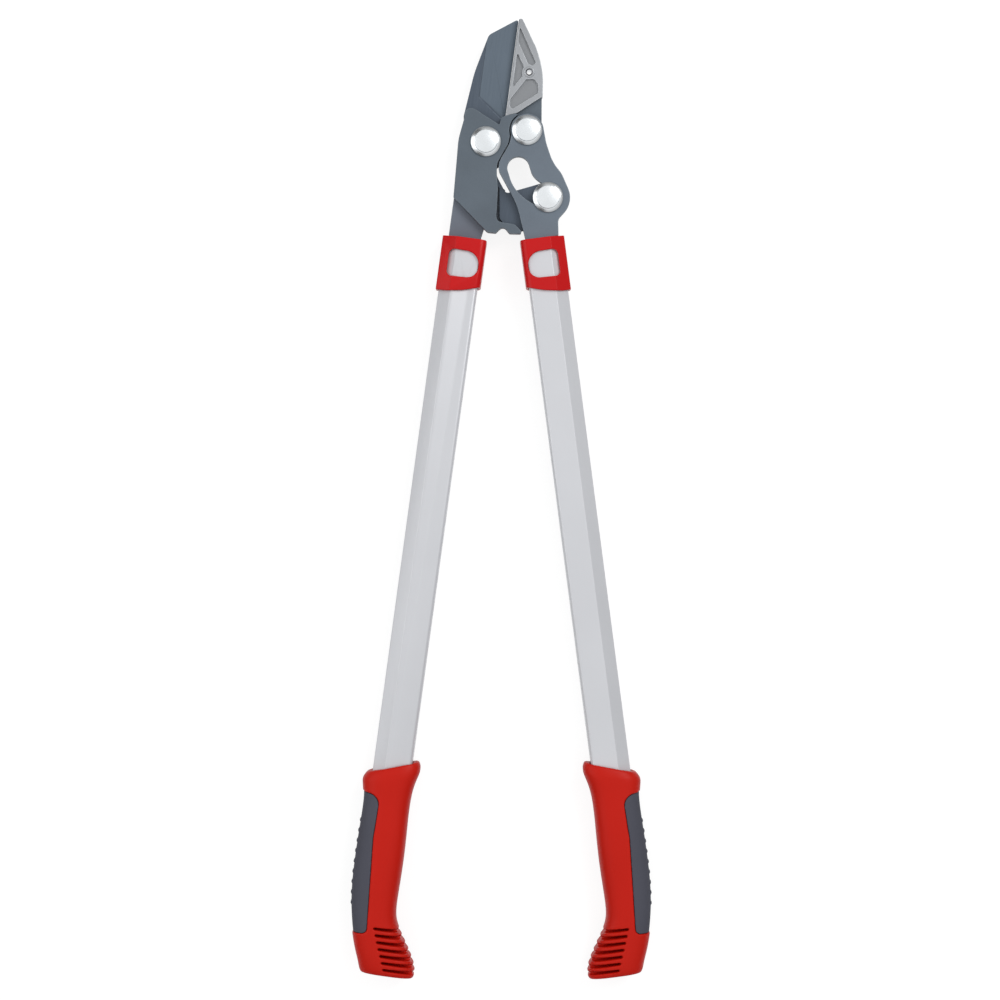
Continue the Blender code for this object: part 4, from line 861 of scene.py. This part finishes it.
bright_zinc = plain_zinc("bright_zinc")
PIVOT_NUT = (0.017, BOLT_HOLE, 0.0006, 0.0066)
PIVOT_WASHER = (BOLT_HOLE, 0.0098, 0.0069, 0.0084)
CAM_NUT = (0.013, CAM_HOLE, 0.0059, 0.0109)
CAM_WASHER = (CAM_HOLE, 0.0088, 0.0112, 0.0127)
BOLTS = [("blade_pivot", BLADE_PIVOT, "anvil_side", (0.005, 0.0), PIVOT_NUT, PIVOT_WASHER),
         ("lever_pivot", LEVER_PIVOT, "anvil_side", (0.005, 0.0), PIVOT_NUT, PIVOT_WASHER),
         ("cam", CAM_PIN, "cutting_blade", (0.004, 0.005), CAM_NUT, CAM_WASHER)]
for label, place, body, bolt_size, _, _ in BOLTS:
    finish(disc_bolt(f"{label}_bolt_dressed", place, *bolt_size), turned_zinc(f"{label}_zinc", place),
           "bright_zinc", body, f"{label}_bolt")
for label, place, body, _, nut_size, washer_size in BOLTS:
    nut = lock_nut(f"{label}_nut_dressed", place, *nut_size)
    finish(nut, bright_zinc, "bright_zinc", body, f"{label}_nut")
    flat = washer(f"{label}_washer_dressed", place, *washer_size)
    finish(flat, bright_zinc, "bright_zinc", body, f"{label}_washer")
cam_roller = washer("cam_roller_dressed", CAM_PIN, CAM_HOLE, 0.0081, FRONT_LOW, FRONT_HIGH)
finish(cam_roller, bright_zinc, "bright_zinc", "cutting_blade", "cam_roller")


# Roll pin, bushings, rivets and rear screws
# A turned spring-steel pin driven through the anvil, and small parts that keep their solids'
# shape: bronze bushings, zinc-plated rivets under the collars and four screws from behind.

BRONZE = (0.42, 0.25, 0.10)
PIN_BORE = 0.0019


def dress_node(node, material):
    """A node whose own solid is shown, in a better material."""
    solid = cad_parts[node]
    solid.data.materials.clear()
    solid.data.materials.append(material)


def sintered_bronze():
    material, tree, shader = new_material("sintered_bronze", 0.45, 1.0)
    grain = use_group(material, fine_grain, Size=2200.0, Clouds=300.0)
    wire_up(tree, shader, add_mix(tree, grain["Shade"], toned(BRONZE, 0.7), BRONZE), grain["Height"], 0.00003)
    return material


def spring_steel():
    """Dark oil-blacked steel, its bore painted bright as a painted highlight."""
    material, tree, shader = new_material("spring_steel", 0.30, 1.0)
    grain = use_group(material, fine_grain, Size=1500.0, Clouds=400.0)
    dark = add_mix(tree, grain["Cloud"], (0.06, 0.06, 0.07), (0.11, 0.11, 0.12))
    # The bore is painted bright zinc: a painted highlight.
    wire_up(tree, shader, add_mix(tree, read_mark(tree, "bore"), dark, ZINC), grain["Height"], 0.00001)
    return material


pin_low, pin_high = ANVIL_LOW + 0.0004, ANVIL_TOP - 0.0004
pin_profile = [(PIN_BORE, pin_low), (PIN_BORE, pin_high), (0.0021, pin_high + 0.0001), (0.0025, pin_high),
               (0.0026, pin_high - 0.0002), (0.0026, pin_low + 0.0002), (0.0025, pin_low)]
anvil_pin = turned("anvil_pin_dressed", pin_profile + pin_profile[:1], ANVIL_PIN, 40)
# The bore is marked so that the material paints it bright: a painted highlight.
mark_faces(anvil_pin, "bore", lambda face: (face.center.xy - ANVIL_PIN.xy).length < PIN_BORE + 0.00002)
finish(anvil_pin, spring_steel(), "bright_zinc", "anvil_side", "anvil_pin")
bronze = sintered_bronze()
for node in ("blade_bushing", "lever_bushing"):
    dress_node(node, bronze)
for node in ("rear_screw_1", "rear_screw_2", "rear_screw_3", "rear_screw_4",
             "anvil_rivet_1", "anvil_rivet_2", "lever_rivet_1", "lever_rivet_2"):
    dress_node(node, bright_zinc)


# Handle tubes and their inserts
# Drawn aluminium tube with a flat face, a sloping facet on each side and a narrow outer edge,
# coated in silver paint. A nylon block inside its top end holds the shank's tenon.

SILVER = (0.64, 0.65, 0.68)
SILVER_DULL = (0.54, 0.55, 0.58)
NYLON = (0.13, 0.13, 0.14)
NYLON_DARK = (0.10, 0.10, 0.11)
TUBE_ROUND = 0.0004
HANDLE_MIDDLE = 0.017
TUBE_TOP, TUBE_BOTTOM = 0.0882, 0.6054


def silver_paint():
    material, tree, shader = new_material("silver_paint", 0.34, 0.15, coat=0.25)
    shader.inputs["Coat Roughness"].default_value = 0.25
    grain = use_group(material, fine_grain, Size=3000.0, Clouds=14.0)
    clouded = add_mix(tree, grain["Cloud"], SILVER, toned(SILVER, 1.05))
    flecked = add_mix(tree, add_math(tree, "MULTIPLY", grain["Shade"], 0.25), clouded, SILVER_DULL)
    wire_up(tree, shader, flecked, grain["Height"], 0.000015, grain["Shade"], 0.30, 0.40)
    return material


def moulded_nylon():
    material, tree, shader = new_material("moulded_nylon", 0.6)
    grain = use_group(material, fine_grain, Size=1800.0, Clouds=60.0)
    wire_up(tree, shader, add_mix(tree, grain["Cloud"], NYLON_DARK, NYLON), grain["Height"], 0.00004)
    return material


def tube_section(grow, crease=0.0010):
    """The tube's section, grown outward: flat inner part, two facets and the narrow outer edge."""
    inner, flat, nose = 0.015 + grow, 0.0055 + 0.31 * grow, 0.0045 + 0.53 * grow
    half, corner = 0.011 + grow, max(0.003 + grow, 0.0015)
    return [(-inner, -half, corner), (flat, -half, crease), (inner, -nose, 0.0012), (inner, nose, 0.0012),
            (flat, half, crease), (-inner, half, corner)]


def drawn_along(name, section, top, bottom):
    """A bar of a given section, from one distance down a handle to another."""
    return placed(drawn_plate(name, section, top, bottom, steps=6),
                  Matrix.Translation((0.0, 0.0, HANDLE_MIDDLE)) @ Matrix.Rotation(math.radians(90), 4, "X"))


def put_on_handle(piece, side):
    """Turns a piece drawn straight down the handle into its place on one side of the tool."""
    placed(piece, Matrix.Translation((AXES[side], 0.0, 0.0)) @ Matrix.Diagonal((OUTWARD[side], 1.0, 1.0, 1.0))
           @ Matrix.Rotation(TILTS[side], 4, "Z"))
    open_mesh(piece)
    close_mesh()
    return piece


def again(piece, name):
    """A copy of a piece with its own mesh."""
    pick(piece)
    bpy.ops.object.duplicate()
    bpy.context.object.name = name
    return bpy.context.object


silver = silver_paint()
nylon = moulded_nylon()
SIDES = {"anvil": "anvil_side", "lever": "lever_side"}
plain_tube = drawn_along("lever_tube_dressed", tube_section(0.0), TUBE_TOP, TUBE_BOTTOM)
combine(plain_tube, drawn_along("bore", tube_section(-0.0015, 0.0003), 0.0, 1.0))
for out, down in RIVETS:
    combine(plain_tube, round_bar((out, -down), RIVET_HOLE, 24))
break_edges(plain_tube, TUBE_ROUND, 3)
tubes = {"lever": plain_tube, "anvil": again(plain_tube, "anvil_tube_dressed")}
for side, body in SIDES.items():
    finish(put_on_handle(tubes[side], side), silver, "silver_paint", body, f"{side}_tube")
    dress_node(f"{side}_insert", nylon)


# Collars
# Injection-moulded red sleeves over the tops of the tubes, with a window on each face through
# which the tube shows, and a slanted lower end.

COLLAR_RED = (0.60, 0.008, 0.009)
COLLAR_DEEP = (0.54, 0.006, 0.007)
COLLAR_ROUND = 0.0007
COLLAR_TOP, COLLAR_END = 0.0849, 0.1274


def moulded_plastic(name, colour, deep, roughness, grain=1400.0, depth=0.00004, coat=0.0):
    """Moulded plastic with a fine spark-eroded grain."""
    material, tree, shader = new_material(name, roughness, specular=0.15, coat=coat)
    shader.inputs["Coat Roughness"].default_value = 0.2
    grain_out = use_group(material, fine_grain, Size=grain, Clouds=24.0)
    clouded = add_mix(tree, grain_out["Cloud"], colour, deep)
    wire_up(tree, shader, add_mix(tree, 0.5, colour, clouded), grain_out["Height"], depth,
            grain_out["Shade"], roughness - 0.04, roughness + 0.06)
    return material


collar_plastic = moulded_plastic("collar_plastic", COLLAR_RED, COLLAR_DEEP, 0.33, coat=0.06)
sleeve = drawn_along("lever_collar_dressed", tube_section(0.0023), COLLAR_TOP, COLLAR_END + 0.004)
combine(sleeve, drawn_along("hollow", tube_section(0.0003), TUBE_TOP - 0.0003, COLLAR_END + 0.02))
combine(sleeve, drawn_plate("lower_end", [
    (-0.0183, -(COLLAR_END - 0.0058), 0.0), (-0.0043, -(COLLAR_END - 0.0016), 0.040),
    (0.0087, -(COLLAR_END + 0.0004), 0.030), (0.0183, -COLLAR_END, 0.0),
    (0.0183, -(COLLAR_END + 0.03), 0.0), (-0.0183, -(COLLAR_END + 0.03), 0.0)], -0.01, 0.05, 3))
window_top = COLLAR_TOP + 0.0098
window_foot = window_top + 0.0213
combine(sleeve, drawn_plate("window", [
    (0.0106, -window_top, 0.0042), (-0.0136, -(window_top + 0.0008), 0.0108),
    (-0.0136, -(window_foot - 0.0006), 0.0086), (0.0106, -window_foot, 0.0042)], -0.01, 0.05, 9))
sleeves = {"lever": sleeve, "anvil": again(sleeve, "anvil_collar_dressed")}
for side, body in SIDES.items():
    low, high = (FRONT_LOW, FRONT_HIGH) if side == "lever" else (MIDDLE_LOW, MIDDLE_HIGH)
    combine(sleeves[side], drawn_plate("tenon_slot", [
        (-0.0113, -0.06, 0.0), (-0.0113, -0.10, 0.0), (0.0073, -0.10, 0.0), (0.0073, -0.06, 0.0)],
        low - 0.0003, high + 0.0003))
    break_edges(sleeves[side], COLLAR_ROUND, 4)
    finish(put_on_handle(sleeves[side], side), collar_plastic, "red_plastic", body, f"{side}_collar")


# Grips and their pads
# Red moulded grips over the tubes' lower ends, with a flared foot cut by seven vents, and a soft
# grey pad moulded round the outer side, ribbed where the palm lies.

GRIP_RED = (0.59, 0.0120, 0.0045)
GRIP_DEEP = (0.53, 0.010, 0.003)
PAD_GREY = (0.086, 0.088, 0.112)
PAD_DEEP = (0.074, 0.076, 0.097)

grip_plastic = moulded_plastic("grip_plastic", GRIP_RED, GRIP_DEEP, 0.42, grain=1100.0)
soft_grey = moulded_plastic("soft_grey", PAD_GREY, PAD_DEEP, 0.72, grain=900.0, depth=0.00006)
GRIP_TOP = 0.5054
GRIP_FOOT = 0.1573
PAD_START, PAD_END = 0.0182, 0.1281
RIB_TOP, RIB_PITCH, RIB_HALF = 0.5453, 0.0081, 0.0008
VENT_TOP, VENT_PITCH = 0.1198, 0.0052
STATIONS = [
    (-0.0046, 0.33, 0.0048, 0.0042, 0.0029), (-0.0012, 0.31, 0.0067, 0.0065, 0.0019),
    (0.0010, 0.29, 0.0067, 0.0070, 0.0014), (0.0036, 0.26, 0.0070, 0.0071, 0.0010),
    (0.012, 0.20, 0.0034, 0.0054, 0.0012), (0.025, 0.05, 0.0020, 0.0045, 0.0012),
    (0.052, 0.00, 0.0033, 0.0053, 0.0002), (0.072, 0.00, 0.0035, 0.0055, 0.0000),
    (0.090, 0.00, 0.0030, 0.0051, 0.0003), (GRIP_FOOT - 0.0513, 0.00, 0.0026, 0.0034, 0.0008),
    (GRIP_FOOT - 0.0413, 0.00, 0.0043, 0.0015, 0.0010), (GRIP_FOOT - 0.0293, 0.00, 0.0120, -0.0010, 0.0012),
    (GRIP_FOOT - 0.0173, 0.00, 0.0196, -0.0047, 0.0015), (GRIP_FOOT - 0.0090, 0.00, 0.0235, -0.0082, 0.0020),
    (GRIP_FOOT - 0.0025, 0.00, 0.0239, -0.0101, 0.0035), (GRIP_FOOT, 0.00, 0.0227, -0.0117, 0.0055),
]


def grip_form(name, inset=0.0, flat_inset=None):
    """The grip's outer form: one rounded section extruded from station to station down the handle."""
    flat_inset = inset if flat_inset is None else flat_inset
    piece = started(name, bpy.ops.mesh.primitive_plane_add, size=2.0, rotation=(math.radians(90), 0.0, 0.0))
    bpy.ops.object.transform_apply(rotation=True)
    open_mesh(piece)
    bpy.ops.mesh.bevel(offset_type="PERCENT", offset_pct=49.9, segments=12, profile=0.61,
                       affect="VERTICES", clamp_overlap=False)
    bpy.ops.mesh.select_all(action="SELECT")
    bpy.ops.mesh.remove_doubles(threshold=0.01)
    centre, wide, tall, lean = Vector((0.0, 0.0, 0.0)), 1.0, 1.0, 0.0
    for number, (down, next_lean, inner, outer, thinner) in enumerate(STATIONS):
        middle = (outer - inner) / 2
        goal = Vector((middle, -(GRIP_TOP + down + next_lean * middle), HANDLE_MIDDLE))
        goal_wide = ((0.030 + inner + outer) / 2 - inset) / math.cos(math.atan(next_lean))
        goal_tall = 0.017 - thinner - flat_inset
        if number:
            bpy.ops.mesh.extrude_region_move(TRANSFORM_OT_translate={"value": goal - centre})
        else:
            bpy.ops.transform.translate(value=goal - centre)
        bpy.ops.transform.rotate(value=-math.atan(lean), orient_axis="Z", center_override=goal)
        bpy.ops.transform.resize(value=(goal_wide / wide, 1.0, goal_tall / tall), center_override=goal)
        bpy.ops.transform.rotate(value=math.atan(next_lean), orient_axis="Z", center_override=goal)
        centre, wide, tall, lean = goal, goal_wide, goal_tall, next_lean
    for end in (-1, 1):
        bpy.ops.mesh.select_all(action="DESELECT")
        shape = bmesh.from_edit_mesh(piece.data)
        max((face for face in shape.faces if len(face.verts) > 4),
            key=lambda face: end * face.calc_center_median().y).select = True
        bmesh.update_edit_mesh(piece.data)
        for step in (0.0008, 0.0035):
            bpy.ops.mesh.inset(thickness=step)
    close_mesh()
    modify(piece, "SUBSURF", levels=2)
    return piece


def soft_zone(grow):
    """The outer part of the grip that the pad covers, seen from the front."""
    start, end = GRIP_TOP + PAD_START - grow, GRIP_TOP + PAD_END + grow
    return drawn_plate("soft_zone", [
        (0.030, -(start - 0.002), 0.0), (0.0062 - grow, -start, 0.009),
        (0.0072 - grow, -(start + 0.3 * (end - start)), 0.050), (0.0024 - grow, -(end - 0.003), 0.004),
        (0.030, -(end + 0.001), 0.0)], -0.02, 0.06, 10)


def inner_edge(down):
    """Where the grip's inner side lies at a distance down it."""
    for (above, _, first, *_), (below, _, second, *_) in zip(STATIONS, STATIONS[1:]):
        if down <= below:
            return -0.015 - first - (second - first) * (down - above) / (below - above)
    return -0.015 - STATIONS[-1][2]


def vent_tools():
    """The blind slots from both faces, and the notches at the edge between two ribs."""
    slots, notches = [], []
    for number in range(7):
        low = VENT_TOP + VENT_PITCH * number
        start, hook = -0.0023 - 0.0019 * number, min(low + 0.0038, GRIP_FOOT - 0.0034)
        plan = [(u, -(GRIP_TOP + low + down), radius) for u, down, radius in (
            (start, -0.0001, 0.0006), (-0.06, -0.0004, 0.0), (-0.06, 0.0034, 0.0), (start, 0.0020, 0.0006))]
        slots.append(drawn_plate("slot", plan, 0.022, 0.06))
        slots.append(drawn_plate("slot", plan, -0.02, 0.012))
        top = low + 0.0004
        notches.append(drawn_plate("notch", [
            (inner_edge(top) + 0.0030, -(GRIP_TOP + top), 0.0), (-0.06, -(GRIP_TOP + top), 0.0),
            (-0.06, -(GRIP_TOP + hook), 0.0), (inner_edge(hook) + 0.0008, -(GRIP_TOP + hook), 0.0)],
            -0.02, 0.06))
    return merge_into(*slots), merge_into(*notches)


def softened(piece, grain):
    """Rounds every edge a little, as a mould does, by a fine even remesh and a light smoothing."""
    modify(piece, "REMESH", mode="VOXEL", voxel_size=grain)
    modify(piece, "SMOOTH", factor=0.5, iterations=3)
    bpy.ops.object.shade_smooth()


grip = grip_form("lever_grip_dressed")
recess = soft_zone(0.0003)
combine(recess, grip_form("core", 0.0031))
combine(grip, recess)
combine(grip, drawn_along("bore", tube_section(0.0003), GRIP_TOP - 0.03, TUBE_BOTTOM + 0.0003))
for tool in vent_tools():
    combine(grip, tool)
softened(grip, 0.00068)

pad = grip_form("lever_grip_pad_dressed", 0.0008, 0.0002)
combine(pad, soft_zone(0.0), "INTERSECT")
ribs = []
for number in range(9):
    place = -(RIB_TOP + RIB_PITCH * number)
    plan = [(0.0155, place - RIB_HALF, 0.0), (0.030, place - RIB_HALF, 0.0),
            (0.030, place + RIB_HALF, 0.0), (0.0155, place + RIB_HALF, 0.0)]
    ribs.append(drawn_plate("rib", plan, 0.009, 0.025))
rib_bars = merge_into(*ribs)
combine(rib_bars, grip_form("crest", 0.0001), "INTERSECT")
combine(pad, rib_bars, "UNION")
combine(pad, grip_form("pad_core", 0.0028))
softened(pad, 0.0005)
grips = {"lever": grip, "anvil": again(grip, "anvil_grip_dressed")}
pads = {"lever": pad, "anvil": again(pad, "anvil_grip_pad_dressed")}
for side, body in SIDES.items():
    finish(put_on_handle(grips[side], side), grip_plastic, "red_plastic", body, f"{side}_grip")
    finish(put_on_handle(pads[side], side), soft_grey, "soft_grey", body, f"{side}_grip_pad")


# Floor
# A wide pale studio floor on which the tool lies. The camera sees it white, and it still takes
# the tool's soft shadow.

FLOOR_HALF = 6.0

floor = started("studio_floor", bpy.ops.mesh.primitive_grid_add, x_subdivisions=4, y_subdivisions=4,
                size=2 * FLOOR_HALF, location=(0.0, -0.28, -0.0001))
floor_paper, floor_tree, floor_shader = new_material("floor_paper", 0.9, specular=0.1)
paper = use_group(floor_paper, fine_grain, Size=60.0, Clouds=3.0)
floor_tree.links.new(add_mix(floor_tree, paper["Cloud"], (0.24, 0.24, 0.24), (0.26, 0.26, 0.26)),
                     floor_shader.inputs["Base Color"])
seen = floor_tree.nodes.new("ShaderNodeLightPath")
floor_shader.inputs["Emission Color"].default_value = (1.0, 1.0, 1.0, 1.0)
direct = add_math(floor_tree, "MAXIMUM", seen.outputs["Is Camera Ray"], seen.outputs["Is Glossy Ray"])
direct = add_math(floor_tree, "MAXIMUM", direct, seen.outputs["Is Transmission Ray"])
floor_tree.links.new(add_math(floor_tree, "MULTIPLY", direct, 0.85),
                     floor_shader.inputs["Emission Strength"])
floor.data.materials.append(floor_paper)


# Light
# One large soft box above the tool's upper right, a weaker one on the left, and a pale room
# with two dark flags in it that only shiny surfaces mirror.

AIM = Vector((-0.02, -0.28, 0.0))


def soft_box(name, place, size, power):
    lamp = bpy.data.lights.new(name, "AREA")
    lamp.shape = "SQUARE"
    lamp.size = size
    lamp.energy = power
    holder = bpy.data.objects.new(name, lamp)
    bpy.context.collection.objects.link(holder)
    holder.location = place
    holder.rotation_euler = (AIM - Vector(place)).to_track_quat("-Z", "Y").to_euler()


soft_box("key_light", (1.3, 0.9, 1.9), 1.2, 26.0)
soft_box("side_light", (-1.75, 0.05, 1.25), 1.8, 12.0)

ROOM_LOW = 0.13
ROOM_HIGH = 0.74
SHINE_LOW = 0.30
room = bpy.data.worlds.new("pale_room")
bpy.context.scene.world = room
room.use_nodes = True
room_tree = room.node_tree
backdrop = room_tree.nodes["Background"]
backdrop.inputs["Color"].default_value = (1.0, 1.0, 1.0, 1.0)
towards = room_tree.nodes.new("ShaderNodeTexCoord").outputs["Generated"]
split = room_tree.nodes.new("ShaderNodeSeparateXYZ")
room_tree.links.new(towards, split.inputs["Vector"])
cast = add_range(room_tree, split.outputs["Z"], 0.0, 1.0, ROOM_LOW, ROOM_HIGH)
shine = add_range(room_tree, split.outputs["Z"], 0.30, 0.80, SHINE_LOW, 1.0)
for turn in (126, 240):
    aside = add_vector(room_tree, "DOT_PRODUCT", towards, (0.85 * math.cos(math.radians(turn)),
                                                           0.85 * math.sin(math.radians(turn)), 0.52))
    card = add_range(room_tree, aside, 0.93, 0.98, 1.0, 0.12)
    shine = add_math(room_tree, "MULTIPLY", shine, card)
path = room_tree.nodes.new("ShaderNodeLightPath")


def choose(test, first, second):
    """First where the test is 0, second where it is 1."""
    node = room_tree.nodes.new("ShaderNodeMix")
    for slot, value in ((0, test), (2, first), (3, second)):
        feed(room_tree, value, node.inputs[slot])
    return node.outputs[0]


lit = choose(path.outputs["Is Glossy Ray"], cast, shine)
seen_through = add_math(room_tree, "MAXIMUM", path.outputs["Is Camera Ray"],
                        path.outputs["Is Transmission Ray"])
room_tree.links.new(choose(seen_through, lit, 1.0), backdrop.inputs["Strength"])


# Camera
# It looks straight down on the tool from about 1.75 m, as the photograph does.

camera_lens = bpy.data.cameras.new("camera")
camera_lens.sensor_width = 36.0
camera_lens.lens = 80.64
camera = bpy.data.objects.new("camera", camera_lens)
bpy.context.collection.objects.link(camera)
camera.location = (-0.02115, -0.28829, 1.769)
bpy.context.scene.camera = camera
bpy.context.scene.view_settings.view_transform = "Standard"
